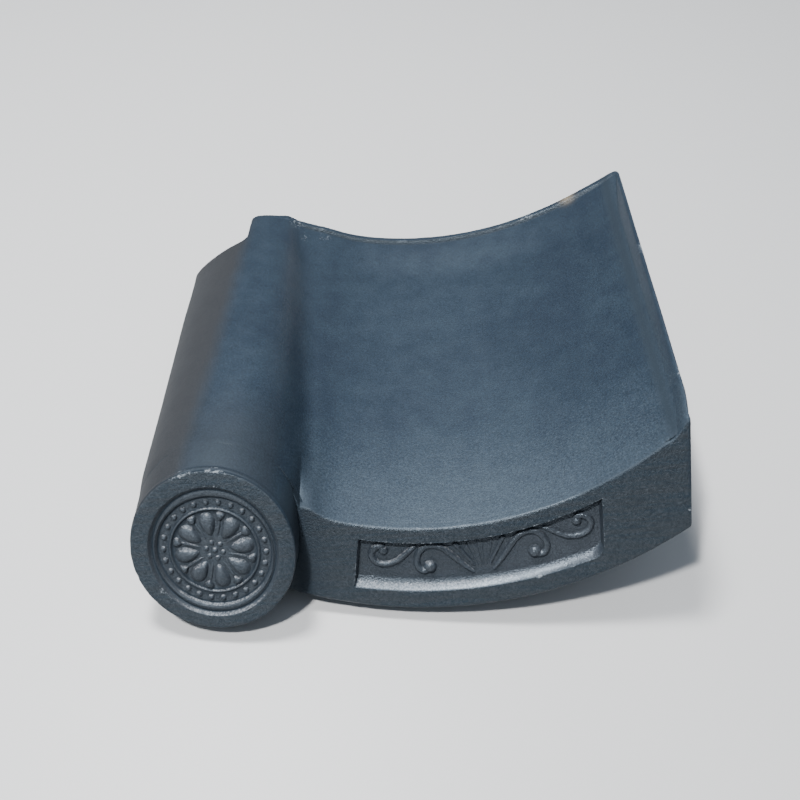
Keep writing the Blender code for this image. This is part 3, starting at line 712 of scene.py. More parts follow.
# Up the lug: the share of its height, and how far its sides stand in (below nought, out) there
LUG_PROFILE = (
    (0.0, 1.8), (0.01, 1.1), (0.03, 0.5), (0.07, 0.1), (0.12, 0.0), (0.3, 0.0), (0.5, 0.0), (0.6, -0.2),
    (0.68, -0.6), (0.74, -1.2), (0.79, -2.0), (0.83, -2.8), (0.9, -2.8), (1.0, -2.8),
)


def rounded_rectangle(half_x, half_y, corner):
    turns = np.linspace(0, math.pi / 2, LUG_CORNER_STEPS)
    ring = []
    for quarter, (side_x, side_y) in enumerate(((1, 1), (-1, 1), (-1, -1), (1, -1))):
        angle = turns + quarter * math.pi / 2
        middle = np.array((side_x * (half_x - corner), side_y * (half_y - corner)))
        ring.append(middle + corner * np.stack((np.cos(angle), np.sin(angle)), axis=1))
    return np.concatenate(ring)


def lug_rows():
    """Rings of points from the lug's foot, level with the ground, up into the tile's wall."""
    rows = []
    for share, inset in LUG_PROFILE:
        ring = rounded_rectangle(LUG_WIDTH / 2 - inset * MM, LUG_THICKNESS / 2 - inset * MM, LUG_CORNER)
        x, y = ring[:, 0] + LUG_CENTRE, ring[:, 1] + PAN_LENGTH - LUG_INSET - LUG_THICKNESS / 2
        ground = (LUG_CLEAR - SEAT.translation[2] - TURN[2, 0] * x - TURN[2, 1] * y) / TURN[2, 2]
        root = pan_height(x, 1.0, WALL) + LUG_ROOT
        rows.append(np.stack((x, y, ground + (root - ground) * share), axis=1))
    return rows


# --- The smoked clay ---

# Scuffs and chips, in millimetres in the drawing frame: X, Y, Z, how far each reaches, and how strong it is
SCUFFS = (
    (-68.8, 264.0, 31.0, 9.0, 0.88), (-62.4, 255.4, 26.0, 8.0, 0.85), (-49.0, 262.0, 20.0, 9.0, 0.85),
    (36.5, 254.8, 2.5, 1.4, 1.2), (97.6, 268.0, 18.5, 8.0, 0.8), (80.0, 269.0, 12.0, 6.0, 0.6),
    (156.0, 175.1, 47.0, 7.0, 0.85), (157.5, 131.1, 46.2, 2.4, 1.0), (157.0, 60.0, 43.0, 6.0, 0.8),
    (136.7, 14.0, 27.8, 3.0, 0.5), (146.9, 16.5, 33.1, 3.0, 0.6), (-123.1, -25.5, -6.3, 3.2, 0.75),
    (-117.0, -26.0, -8.0, 2.6, 0.7), (-37.2, 5.1, 9.5, 2.6, 0.6),
    (-41.4, -15.0, -30.1, 4.5, 0.7), (158.1, 0.7, 1.5, 4.0, 0.7), (139.2, -1.1, -2.1, 0.9, 1.3),
    (79.2, -14.3, -28.5, 1.6, 0.9), (-84.0, 4.0, 51.5, 9.0, 0.5), (-100.0, 4.0, 50.5, 8.0, 0.5),
)
TAN_SPOT = (126.3, 269.9, 30.6, 4.5, 1.0)

# How sharp a bend is that wears to a full edge or gets the full painted shade, in 1/m, and how far the marks
# carry
EDGE_BEND = 650.0
CREASE_SHADE_BEND = 500.0
WEAR_REACH = 2.2 * MM
OVERHANG_REACH = 1.7 * MM
UNEVEN = 0.22 * MM
NIBBLE = 0.5 * MM
NIBBLE_FROM = 0.25
LUMPS = 38.0
NIBBLES = (260.0, 620.0)

# Where the marks lie: the middle and the reach, or from where they begin to where they're full
SEAM_BAND = 2.7 * MM
BARREL_FOOT = mm(-46, 7)
BARREL_FOOT_OUT = -45 * MM
BARREL_FOOT_Z = 8 * MM
RECESS_DEEP = mm(-2.2, 2.0)
RECESS_SHARE = 0.84
PANEL_DEEP = mm(-2.6, 2.5)
PANEL_SIDE = -20 * MM
PANEL_RIM = 3 * MM
RIB_FROM_Z = 20 * MM
RIB_BEAD = (RIGHT_EDGE - 3.5 * MM, 3 * MM)
RIB_GROOVE_SHADE = (RIGHT_EDGE - RIB_FOOT - 1 * MM, RIB_GROOVE_REACH)
BESIDE_MEDALLION = mm(-49, 6)
BESIDE_MEDALLION_OUT = mm(6.5, 11.5)
BESIDE_MEDALLION_UP = mm(38, 28)
VALLEY_FRONT = mm(-43, 8)
VALLEY_FRONT_Y = mm(70, 10)
RIGHT_FRONT = mm(90, 115)
RIGHT_FRONT_OUT = 3 * MM
RIGHT_FRONT_Z = 12 * MM
MEDALLION_OUT = 12 * MM
RIGHT_RELIEF = mm(30, 90)
RIGHT_LEDGE = mm(40, 100)
TAIL_BRINK_Y = 262 * MM

# How squarely a surface has to face a way, from where that begins to count to where it's full
FACES_LEFT = (0.4, 0.7)
FACES_DOWN = (0.5, 0.8)
FACES_UP = (0.35, 0.65)
FACES_OUT = (0.6, 0.9)


def near_spots(places, spots):
    """How strongly each place is marked by the spots near it."""
    mark = np.zeros(len(places))
    for x, y, z, reach, strength in spots:
        away = np.linalg.norm(places - np.array((x, y, z)) * MM, axis=1) / (reach * MM)
        mark = np.maximum(mark, strength * np.exp(-away * away))
    return mark


def bends(points, normals, ends):
    """How sharply the surface bends at each point, in 1/m: above nought on an edge, below it in a hollow."""
    first, second = ends.T
    run = points[first] - points[second]
    square = np.maximum((run * run).sum(axis=1), 1e-12)
    total = np.bincount(first, 2 * (normals[first] * run).sum(axis=1) / square, len(points))
    total -= np.bincount(second, 2 * (normals[second] * run).sum(axis=1) / square, len(points))
    return total / np.maximum(np.bincount(ends.ravel(), minlength=len(points)), 1)


def spread(values, ends, lengths, reach, passes=12):
    """The values carried outwards along the surface, fading to nothing over the reach."""
    values = values.copy()
    for _ in range(passes):
        for near, far in (ends.T, ends.T[::-1]):
            np.maximum.at(values, near, values[far] - lengths / reach)
    return values


def numbers_of(items, key, width, kind=np.float32):
    values = np.empty(len(items) * width, kind)
    items.foreach_get(key, values)
    return values.reshape(-1, width)


def unevenness(place):
    """How far the hand-pressed clay falls short of its true shape: nought to one."""
    return 0.5 + 0.5 * noise.noise(Vector(place) * LUMPS)


def nibbled(place):
    """How far a worn edge is nibbled away, nought or more."""
    coarse, fine = (noise.noise(Vector(place) * count) for count in NIBBLES)
    return max(0.0, coarse + 0.6 * fine)


def within(value, middle, reach):
    return np.abs(value - middle) < reach


def at_seam(places):
    """Which places are by the hidden seams, where the shell runs into the pendant and the medallion."""
    seam, on_roll = seam_place(places[:, 0])
    out = places @ OUT_OF_FACE
    foot = within(places[:, 0], *BARREL_FOOT) & (out > BARREL_FOOT_OUT) & (places[:, 2] > BARREL_FOOT_Z)
    return within(out, seam + SEAM_REACH / 2 * on_roll, SEAM_BAND) | foot


def in_relief(places):
    """Which places lie in the sunk panel or in the medallion's recess."""
    x, up, out = places[:, 0], places @ UP_FACE, places @ OUT_OF_FACE
    middle = np.hypot(x - MEDALLION_X, up - MEDALLION_UP) < RECESS_SHARE * MEDALLION_RADIUS
    in_recess = middle & within(out - MEDALLION_PROUD, *RECESS_DEEP)
    in_panel = within(out, *PANEL_DEEP) & (up < front_top(x) / COS_LEAN - PANEL_RIM)
    return in_recess | (in_panel & (x > PANEL_LEFT - 2 * PANEL_SLANT))


def painted_shade_spots(places, normals, relief, on_shell):
    """How much painted shade a place gets by where it lies: in the rib's groove, on the panel's right wall,
    beside the medallion as its painted shadow, and at the front of the valley."""
    x, y, z = places.T
    # Painted shade in the rib's groove and on the panel's right wall.
    groove = hump(x, *RIB_GROOVE_SHADE) * (z > RIB_FROM_Z) * on_shell
    right_wall = rising(-normals[:, 0], *FACES_LEFT) * relief * (x > PANEL_RIGHT - PANEL_RIM)
    # Painted shadow of the medallion, on the pendant and on the barrel's side beside it.
    beside = hump(x, *BESIDE_MEDALLION) * rising(places @ UP_FACE, *BESIDE_MEDALLION_UP)
    beside *= within(places @ OUT_OF_FACE, *BESIDE_MEDALLION_OUT)
    # Painted shade at the front of the valley beside the roll.
    valley = hump(x, *VALLEY_FRONT) * rising(y, *VALLEY_FRONT_Y) * (normals[:, 2] > 0)
    return np.max((0.9 * groove, 0.5 * right_wall, np.minimum(1.15 * beside, 1), 0.5 * valley), axis=0)


def weathered(mesh, wear):
    """Rubs the edges down a little unevenly, and marks each point for the clay's colours, painted shade and
    painted light among them.
    """
    points = numbers_of(mesh.vertices, "co", 3).astype(float)
    normals = numbers_of(mesh.vertices, "normal", 3).astype(float)
    ends = numbers_of(mesh.edges, "vertices", 2, np.int32)
    lengths = np.linalg.norm(points[ends[:, 0]] - points[ends[:, 1]], axis=1)
    places = points @ UNSEAT[:3, :3].T + UNSEAT[:3, 3]
    x, y, z = places.T
    out = places @ OUT_OF_FACE
    relief = in_relief(places)
    in_panel = relief * (x > PANEL_SIDE)
    on_shell = (normals[:, 2] > 0) & (out < -1 * MM)

    bend = bends(points, normals, ends) * ~at_seam(places)
    edge = spread(np.clip(bend / EDGE_BEND, 0, 1), ends, lengths, WEAR_REACH)
    edge *= 1 - 0.7 * relief - 0.3 * (out > MEDALLION_OUT)
    right_front = rising(x, *RIGHT_FRONT) * (np.abs(out) < RIGHT_FRONT_OUT) * (z > RIGHT_FRONT_Z)
    # A darker line instead of pale wear along the front's right edge, carried in the hollow mark.
    dark_line = right_front * np.clip(edge / 0.6, 0, 1)
    edge *= 1 - 0.8 * right_front - 0.4 * (y > TAIL_BRINK_Y)
    # Painted shade: the sharper a concave bend, the darker the clay, standing in for the shade in creases.
    sunk = np.clip(-bend / CREASE_SHADE_BEND, 0, 1) * (1 - 0.45 * in_panel)
    # Painted shadow: under the panel's top wall and under the raised work, carried a little way onto the floor.
    painted_overhang_shadow = spread(rising(-normals @ SEATED_UP, *FACES_DOWN) * in_panel, ends, lengths, OVERHANG_REACH)

    marks = {
        # Painted light: the relief's floors and raised work are made paler against the shade of their recesses,
        # more so to the right; the same mark makes them glossier.
        "relief": relief * (0.9 + 0.6 * rising(x, *RIGHT_RELIEF)),
        "rib": 0.7 * hump(x, *RIB_BEAD) * (z > RIB_FROM_Z) * on_shell,
        # Pale dust and painted highlight: the relief's up-facing surfaces made paler, as light from above
        # brightens them.
        "ledge_dust_and_highlight": rising(normals @ SEATED_UP, *FACES_UP) * relief * (1 - 0.35 * rising(x, *RIGHT_LEDGE)),
        "edge": edge * wear,
        "scuff": near_spots(places, SCUFFS),
        # Painted shade: creases, the painted shadow under the panel's top wall, the painted shade spots, and
        # the dark line at the front's right edge.
        "hollow": np.max((sunk, dark_line, painted_overhang_shadow, painted_shade_spots(places, normals, relief, on_shell)), axis=0),
        "tan": near_spots(places, (TAN_SPOT,)),
        "front": rising(normals @ SEATED_OUT, *FACES_OUT),
    }
    for name, values in marks.items():
        mesh.attributes.new(name, "FLOAT", "POINT").data.foreach_set("value", values.astype(np.float32))
    drawn = mesh.attributes.new("place", "FLOAT_VECTOR", "POINT").data
    drawn.foreach_set("vector", places.astype(np.float32).ravel())

    short = np.array([unevenness(p) for p in points]) * UNEVEN
    worn = edge > NIBBLE_FROM
    short[worn] += np.array([nibbled(p) for p in points[worn]]) * NIBBLE * edge[worn]
    points -= normals * (short * wear)[:, None]
    mesh.vertices.foreach_set("co", points.astype(np.float32).ravel())


class Wiring:
    """A node tree under construction. Each call adds a node and hands back its outputs."""

    def __init__(self, group):
        self.group = group

    def plug(self, socket, value):
        if isinstance(value, bpy.types.NodeSocket):
            self.group.links.new(value, socket)
        else:
            socket.default_value = value

    def add(self, kind, inputs=None, **settings):
        node = self.group.nodes.new(kind)
        for key, value in settings.items():
            setattr(node, key, value)
        for label, value in (inputs or {}).items():
            self.plug(node.inputs[label], value)
        return node.outputs

    def math(self, operation, *values):
        return self.add("ShaderNodeMath", dict(enumerate(values)), operation=operation)["Value"]

    def times(self, *values):
        return reduce(partial(self.math, "MULTIPLY"), values)

    def plus(self, *values):
        return reduce(partial(self.math, "ADD"), values)

    def less(self, value, taken):
        return self.math("SUBTRACT", value, taken)

    def vector(self, **places):
        return self.add("ShaderNodeCombineXYZ", places)["Vector"]

    def apart(self, vector):
        return tuple(self.add("ShaderNodeSeparateXYZ", {"Vector": vector}))

    def between(self, value, low, high):
        """0 below the low value, 1 above the high one, eased in between."""
        inputs = {"Value": value, "From Min": low, "From Max": high}
        return self.add("ShaderNodeMapRange", inputs, interpolation_type="SMOOTHSTEP")["Result"]

    def mark(self, name):
        return self.add("ShaderNodeAttribute", attribute_name=name)["Fac"]

    def noise(self, vector, scale, detail=2.0, roughness=0.5):
        inputs = {"Vector": vector, "Scale": scale, "Detail": detail, "Roughness": roughness}
        return self.add("ShaderNodeTexNoise", inputs)["Fac"]

    def mix(self, share, first, second, blend="MIX"):
        node = self.group.nodes.new("ShaderNodeMix")
        node.data_type = "RGBA"
        node.blend_type = blend
        for i, value in zip((0, 6, 7), (share, first, second)):
            self.plug(node.inputs[i], value)
        return node.outputs[2]

    def bump(self, height, strength, distance, over=None):
        inputs = {"Height": height, "Strength": strength, "Distance": distance}
        return self.add("ShaderNodeBump", {**inputs, "Normal": over} if over else inputs)["Normal"]

    def coated(self, colour, *coats):
        """The colour under more coats, each given by where it lies, how strong it is, and its own colour."""
        for share, strength, coat in coats:
            colour = self.mix(self.times(share, strength), colour, coat)
        return colour

    def curve(self, value, points):
        """A value passed through a smooth profile given by a few points."""
        node = self.group.nodes.new("ShaderNodeFloatCurve")
        line = node.mapping.curves[0]
        for i, point in enumerate(points):
            if i < 2:
                line.points[i].location = point
            else:
                line.points.new(*point)
        node.mapping.update()
        self.group.links.new(value, node.inputs["Value"])
        return node.outputs["Value"]


SLATE = (0.007, 0.012, 0.020, 1)
PALE_SLATE = (0.011, 0.018, 0.027, 1)
BROWN_GREY = (0.010, 0.009, 0.009, 1)
FRONT_GREY = (0.013, 0.016, 0.019, 1)
FRONT_BLUE = (0.009, 0.015, 0.021, 1)
DUST_GREY = (0.023, 0.032, 0.042, 1)
PAINTED_SHADE_GREY = (0.004, 0.008, 0.013, 1)
RELIEF_PAINTED_LIGHT_GREY = (0.030, 0.035, 0.042, 1)
SPECK_GREY = (0.036, 0.041, 0.047, 1)
ROLL_SHADE_GREY = (0.004, 0.006, 0.009, 1)
LEDGE_DUST_AND_HIGHLIGHT_GREY = (0.145, 0.15, 0.16, 1)
CHIP_GREY = (0.17, 0.19, 0.21, 1)
TAN = (0.16, 0.13, 0.09, 1)

# The clay's patterns: how many lumps to a metre, how much finer detail, and how strong that is
CLOUD = (14.0, 4.0, 0.55)
MOTTLE = (75.0, 5.0, 0.6)
GRAIN = (1000.0, 2.0, 0.6)
RAGGED = (650.0, 4.0, 0.7)
DUST = (800.0, 3.0, 0.7)
LEDGE_DUST_AND_HIGHLIGHT_NOISE = (800.0, 4.0, 0.8)
WIPED = (22.0, 420.0, 420.0)

# Where one finish, or the painted shade on the roll, passes into another, from the first place to the second
FLANK_X = mm(-92.5, -107.5)
FLANK_WAVER = 6 * MM
DUSTY_Y = (110 * MM, 0.0)
DUSTY_X = mm(-58, -42)
ROLL_SHADE_Y = mm(85, 20)
ROLL_SHADE_X = mm(-50, -60)
BRINK_OUT = mm(-8, -0.5)
BRINK_X = mm(-60, -20)
BRINK_END_X = mm(115, 80)


def smoked_clay():
    """Smoked grey clay: mottled slate over the pan, brownish on the roll's outer flank, darker and wiped
    sideways on the fronts, with a fine sparkling grain, pale chips along the edges, and painted shade and
    painted light."""
    material = bpy.data.materials.new("smoked_clay")
    material.use_nodes = True
    make = Wiring(material.node_tree)
    where = make.add("ShaderNodeTexCoord")["Object"]
    place = make.add("ShaderNodeAttribute", attribute_name="place")["Vector"]
    x, y, z = make.apart(place)
    front = make.mark("front")
    mottle, grain, ragged = (make.noise(where, *pattern) for pattern in (MOTTLE, GRAIN, RAGGED))

    # The body of the clay, the brownish flank, the dust of the front and the rib, and painted shade on the roll
    # by the medallion
    light = make.plus(make.times(make.noise(where, *CLOUD), 0.6), make.times(mottle, 0.4))
    colour = make.mix(make.between(light, 0.36, 0.66), SLATE, PALE_SLATE)
    flank = make.between(make.plus(x, make.times(make.less(mottle, 0.5), FLANK_WAVER)), *FLANK_X)
    near_front = make.times(make.between(y, *DUSTY_Y), make.between(x, *DUSTY_X))
    near_front = make.math("MAXIMUM", near_front, make.mark("rib"))
    dusty = make.between(make.plus(make.times(near_front, 0.35), make.noise(where, *DUST)), 0.55, 0.95)
    # Painted shade: the roll's front darkened, standing in for the dimmer sheen it has there.
    roll_painted_shade = make.times(make.between(y, *ROLL_SHADE_Y), make.between(x, *ROLL_SHADE_X), make.less(1.0, flank))
    colour = make.coated(colour, (flank, 0.9, BROWN_GREY), (dusty, 0.8, DUST_GREY), (roll_painted_shade, 0.8, ROLL_SHADE_GREY))

    # The wiped fronts, the painted light on the relief, the grain's own speckle, and the painted shade in the
    # hollows and corners
    streaks = make.noise(make.add("ShaderNodeMapping", {"Vector": place, "Scale": WIPED})["Vector"], 1.0, 4.0)
    colour = make.mix(front, colour, make.mix(make.between(streaks, 0.35, 0.7), FRONT_GREY, FRONT_BLUE))
    # Painted light on the relief.
    colour = make.coated(colour, (make.mark("relief"), 0.6, RELIEF_PAINTED_LIGHT_GREY))
    speckle = {"Value": grain, "From Min": 0.3, "From Max": 0.75, "To Min": 0.65, "To Max": 1.5}
    tone = dict.fromkeys(range(3), make.add("ShaderNodeMapRange", speckle)["Result"])
    colour = make.mix(1.0, colour, make.add("ShaderNodeCombineColor", tone)["Color"], "MULTIPLY")
    specks = make.times(make.between(ragged, 0.42, 0.68), front)
    colour = make.coated(colour, (specks, 0.55, SPECK_GREY), (make.mark("hollow"), 0.92, PAINTED_SHADE_GREY))

    # Pale dust and painted highlight on the relief's up-facing surfaces, and the pale chips along the edges,
    # the scuffs and the front's brink
    out = make.plus(make.times(y, -COS_LEAN), make.times(z, SIN_LEAN))
    brink = make.times(make.between(x, *BRINK_X), make.between(x, *BRINK_END_X), make.between(out, *BRINK_OUT))
    brink = make.times(brink, make.less(1.0, front))
    worn = make.plus(*(make.times(*pair) for pair in (
        (make.mark("edge"), 0.55), (make.mark("scuff"), 0.6), (make.less(ragged, 0.5), 1.3), (brink, 0.3),
    )))
    chips = make.between(worn, 0.52, 0.72)
    # Pale dust and painted highlight, sprinkled over the relief's up-facing surfaces.
    sprinkled = make.plus(make.times(make.mark("ledge_dust_and_highlight"), 0.4), make.noise(where, *LEDGE_DUST_AND_HIGHLIGHT_NOISE))
    ledge_dust_and_highlight_coat = (make.between(sprinkled, 0.82, 1.0), 0.85, LEDGE_DUST_AND_HIGHLIGHT_GREY)
    colour = make.coated(colour, ledge_dust_and_highlight_coat, (chips, 0.75, CHIP_GREY), (make.mark("tan"), 0.8, TAN))

    matt = make.math("MAXIMUM", make.math("MAXIMUM", chips, flank), roll_painted_shade)
    rough = make.plus(0.36, make.times(mottle, 0.14), make.times(matt, 0.25))
    rough = make.plus(rough, make.times(make.mark("relief"), -0.1), make.times(make.mark("hollow"), 0.3))
    normal = make.bump(grain, 0.4, make.plus(0.25 * MM, make.times(front, 1.7 * MM)))
    normal = make.bump(mottle, 0.3, 0.8 * MM, normal)
    normal = make.bump(make.less(1.0, chips), 0.5, 0.3 * MM, normal)
    shader = material.node_tree.nodes["Principled BSDF"].inputs
    for label, value in (("Base Color", colour), ("Roughness", rough), ("Normal", normal)):
        make.plug(shader[label], value)
    shader["Specular Tint"].default_value = (0.72, 0.86, 1.0, 1)
    shader["Specular IOR Level"].default_value = 0.4
    return material


clay = smoked_clay()


# --- Geometry node trees for the relief ---


class Tree(Wiring):
    """A geometry node tree under construction, with named inputs."""

    def __init__(self, name, inputs, takes_geometry=False):
        super().__init__(bpy.data.node_groups.new(name, "GeometryNodeTree"))
        self.group.is_modifier = True
        sockets = self.group.interface
        sockets.new_socket("Geometry", in_out="OUTPUT", socket_type="NodeSocketGeometry")
        if takes_geometry:
            sockets.new_socket("Geometry", in_out="INPUT", socket_type="NodeSocketGeometry")
        for label, value in inputs.items():
            kind = "NodeSocketInt" if isinstance(value, int) else "NodeSocketFloat"
            sockets.new_socket(label, in_out="INPUT", socket_type=kind).default_value = value
        self.entry = self.group.nodes.new("NodeGroupInput").outputs

    def shape(self, kind, inputs, **settings):
        """The first output of a geometry node, which is its shape."""
        return self.add("GeometryNode" + kind, inputs, **settings)[0]

    def finish(self, geometry):
        solid = self.shape("RealizeInstances", {"Geometry": geometry})
        smooth = self.shape("SetShadeSmooth", {"Geometry": solid})
        painted = self.shape("SetMaterial", {"Geometry": smooth, "Material": clay})
        self.plug(self.group.nodes.new("NodeGroupOutput").inputs["Geometry"], painted)
        return self.group


MOULDED_PROFILE = ((0.0, 0.0), (1.0, 1.0), (0.06, 0.10), (0.18, 0.42), (0.4, 0.76), (0.7, 0.95))


def dome_ring_tree():
    """A ring of moulded domes whose feet run out into the floor that they stand on."""
    tree = Tree("dome_ring", {
        "Count": 8, "Ring Radius": 0.02, "Turn": 0.0, "Length": 0.01, "Width": 0.006, "Height": 0.002,
        "Taper": 0.0, "Sink": 0.0002, "Facets": 20, "Rings": 8,
    })
    need = tree.entry
    disc = tree.shape("MeshCone", {
        "Vertices": need["Facets"], "Side Segments": need["Rings"], "Radius Top": 0.0, "Radius Bottom": 1.0,
        "Depth": 0.0,
    }, fill_type="NGON")
    across, along, _ = tree.apart(tree.add("GeometryNodeInputPosition")["Position"])
    reach = tree.math("SQRT", tree.plus(tree.times(across, across), tree.times(along, along)))
    lift = tree.curve(tree.less(1.0, reach), MOULDED_PROFILE)
    narrow = tree.less(1.0, tree.times(need["Taper"], tree.less(1.0, along), 0.5))
    moulded = tree.vector(
        X=tree.times(across, narrow, need["Width"], 0.5), Y=tree.times(along, need["Length"], 0.5),
        Z=tree.less(tree.times(lift, need["Height"]), need["Sink"]),
    )
    dome = tree.shape("SetPosition", {"Geometry": disc, "Position": moulded})
    step = tree.math("DIVIDE", math.tau, need["Count"])
    angle = tree.plus(tree.times(tree.add("GeometryNodeInputIndex")["Index"], step), need["Turn"])
    cosine, sine = (tree.times(tree.math(kind, angle), need["Ring Radius"]) for kind in ("COSINE", "SINE"))
    ring = tree.shape("Points", {"Count": need["Count"], "Position": tree.vector(X=cosine, Y=sine)})
    outward = tree.vector(Z=tree.less(angle, math.pi / 2))
    return tree.finish(tree.shape("InstanceOnPoints", {"Points": ring, "Instance": dome, "Rotation": outward}))


def scrollwork_tree():
    """Moulded bars along guide lines. A guide's radius gives the bar's half width at each point."""
    tree = Tree("scrollwork", {"Step": 0.0005, "Height Share": 0.95, "Sink Share": 0.12, "Facets": 26}, True)
    need = tree.entry
    smooth = tree.shape("CurveSplineType", {"Curve": need["Geometry"]}, spline_type="CATMULL_ROM")
    even = tree.shape("ResampleCurve", {"Curve": smooth, "Length": need["Step"]}, mode="LENGTH")
    flat = tree.shape("SetCurveNormal", {"Curve": even}, mode="Z_UP")
    circle = tree.shape("CurvePrimitiveCircle", {"Resolution": need["Facets"], "Radius": 1.0})
    across, along, _ = tree.apart(tree.add("GeometryNodeInputPosition")["Position"])
    lift = tree.curve(tree.less(1.0, tree.math("ABSOLUTE", across)), MOULDED_PROFILE)
    above = tree.math("GREATER_THAN", along, 0.0001)
    height = tree.less(need["Sink Share"], tree.times(above, lift, need["Height Share"]))
    moulded = tree.vector(X=across, Y=height)
    profile = tree.shape("SetPosition", {"Geometry": circle, "Position": moulded})
    width = tree.add("GeometryNodeInputRadius")["Radius"]
    inputs = {"Curve": flat, "Profile Curve": profile, "Scale": width, "Fill Caps": True}
    return tree.finish(tree.shape("CurveToMesh", inputs))


def evaluated_mesh(name, data, tree, inputs, matrix):
    """The plain mesh that a tree makes from a mesh or a curve, put in its place in the mesh itself."""
    source = placed(name, data)
    modifier = source.modifiers.new(tree.name, "NODES")
    modifier.node_group = tree
    sockets = (item for item in tree.interface.items_tree if item.item_type == "SOCKET")
    keys = {socket.name: socket.identifier for socket in sockets if socket.in_out == "INPUT"}
    for label, value in inputs.items():
        modifier[keys[label]] = value
    graph = bpy.context.evaluated_depsgraph_get()
    mesh = bpy.data.meshes.new_from_object(source.evaluated_get(graph))
    source.modifiers.remove(modifier)
    bpy.data.objects.remove(source)
    mesh.transform(matrix)
    return mesh


def face_matrix(x=0.0, up=0.0, out=0.0):
    """Takes places across the face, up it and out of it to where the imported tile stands."""
    axes = Matrix(((1.0, 0.0, 0.0), UP_FACE, OUT_OF_FACE)).transposed().to_4x4()
    place = Vector((x, 0.0, 0.0)) + Vector(UP_FACE) * up + Vector(OUT_OF_FACE) * out
    return SEAT @ Matrix.Translation(place) @ axes


RELIEF_WEAR = 0.5


def joined(name, meshes):
    """Small meshes as one finished piece, worn less than the body is."""
    bm = bmesh.new()
    for mesh in meshes:
        bm.from_mesh(mesh)
    whole = bpy.data.meshes.new(name)
    bm.to_mesh(whole)
    bm.free()
    return finished(name, whole, RELIEF_WEAR)


# Each ring of domes on the medallion: how many, how far out, and how far turned in degrees; the length, the
# width and the height of one dome, how much it tapers, and the height of the floor under it. How far out and
# the length are shares of the medallion's radius, and the other sizes are millimetres.
MEDALLION_RINGS = (
    (26, 0.617, 91.5, 0.082, 3.7, 1.5, 0.0, -3.5),
    (8, 0.335, 6.0, 0.315, 12.0, 2.9, 0.6, -3.8),
    (8, 0.446, 28.5, 0.125, 9.0, 2.1, 0.9, -3.8),
    (8, 0.30, 28.5, 0.32, 2.6, 0.8, 0.35, -3.8),
    (6, 0.102, 43.6, 0.072, 3.2, 1.2, 0.0, -3.6),
    (1, 0.0, 0.0, 0.085, 3.8, 1.3, 0.0, -3.6),
)


def domes(tree, matrix, **inputs):
    """A ring of domes, which the tree makes from nothing. The inputs' names are the tree's, in lower case."""
    named = {key.replace("_", " ").title(): value for key, value in inputs.items()}
    return evaluated_mesh("domes", bpy.data.meshes.new("domes"), tree, named, matrix)


def medallion_relief():
    tree = dome_ring_tree()
    middle = (MEDALLION_X + RELIEF_SHIFT[0], MEDALLION_UP + RELIEF_SHIFT[1])
    meshes = []
    for count, reach, turn, length, width, height, taper, floor_height in MEDALLION_RINGS:
        meshes.append(domes(
            tree, face_matrix(*middle, MEDALLION_PROUD + floor_height * MM), count=count,
            ring_radius=reach * MEDALLION_RADIUS, turn=math.radians(turn), length=length * MEDALLION_RADIUS,
            width=width * MM, height=height * MM, taper=taper,
        ))
    return joined("tile_medallion_relief", meshes)


# Scrollwork guides in millimetres: along the panel from its fan, above its middle line, and half width
INNER_SCROLL = (
    (5.2, -9.4, 1.0), (9.6, -4.8, 1.7), (13.4, -0.7, 2.0), (17.4, 3.5, 2.1), (21.9, 7.1, 2.1), (26.7, 8.3, 2.1),
    (30.9, 7.4, 2.1), (33.9, 4.2, 2.1), (35.2, -0.2, 2.1), (34.6, -4.2, 2.2), (32.4, -6.4, 2.2),
    (29.8, -6.2, 2.2), (28.4, -4.9, 1.4),
)
OUTER_SCROLL = (
    (35.6, 8.3, 1.0), (39.2, 5.4, 1.8), (42.5, 2.2, 2.0), (46.5, -1.2, 2.1), (51.5, -3.2, 2.1),
    (56.5, -2.8, 2.2), (59.6, 0.0, 2.2), (60.0, 3.5, 2.2), (57.8, 6.5, 2.2), (54.9, 7.2, 2.2), (53.2, 5.6, 1.5),
)
FAN_RAYS = (
    ((4.2, -5.4, 0.8), (9.0, 2.1, 1.4), (14.0, 8.9, 1.6)),
    ((2.2, -5.6, 0.35), (5.2, 2.0, 0.5), (7.8, 9.6, 0.5)),
    ((0.4, -5.8, 0.3), (1.1, 2.0, 0.4), (1.6, 10.2, 0.4)),
)
SCROLL_BALLS = ((28.1, -4.2, 3.9), (53.8, 4.9, 3.0))
BALL_HEIGHT = 0.8
SCROLL_CENTRE = 48.5 * MM
FLOOR_OUT = -PANEL_DEPTH


def panel_middle(x):
    top = pan_height(x) / COS_LEAN - PANEL_DROP - PANEL_STEEP
    return (top + pendant_bottom(x) + PANEL_RAISE + PANEL_BEVEL) / 2


def panel_place(along, above, side):
    """A place in the panel's plane, given along its middle line from the fan and above that line."""
    x = SCROLL_CENTRE + side * along * MM
    lean = math.atan((panel_middle(x + MM) - panel_middle(x - MM)) / (2 * MM))
    return x - above * MM * math.sin(lean), panel_middle(x) + above * MM * math.cos(lean)


def guide_curve(guides):
    """The guide lines, on both sides of the fan."""
    curve = bpy.data.curves.new("guides", "CURVE")
    curve.dimensions = "3D"
    for side in (-1, 1):
        for guide in guides:
            spline = curve.splines.new("POLY")
            spline.points.add(len(guide) - 1)
            for point, (along, above, half) in zip(spline.points, guide):
                point.co = (*panel_place(along, above, side), 0.0, 1.0)
                point.radius = half * MM
    return curve


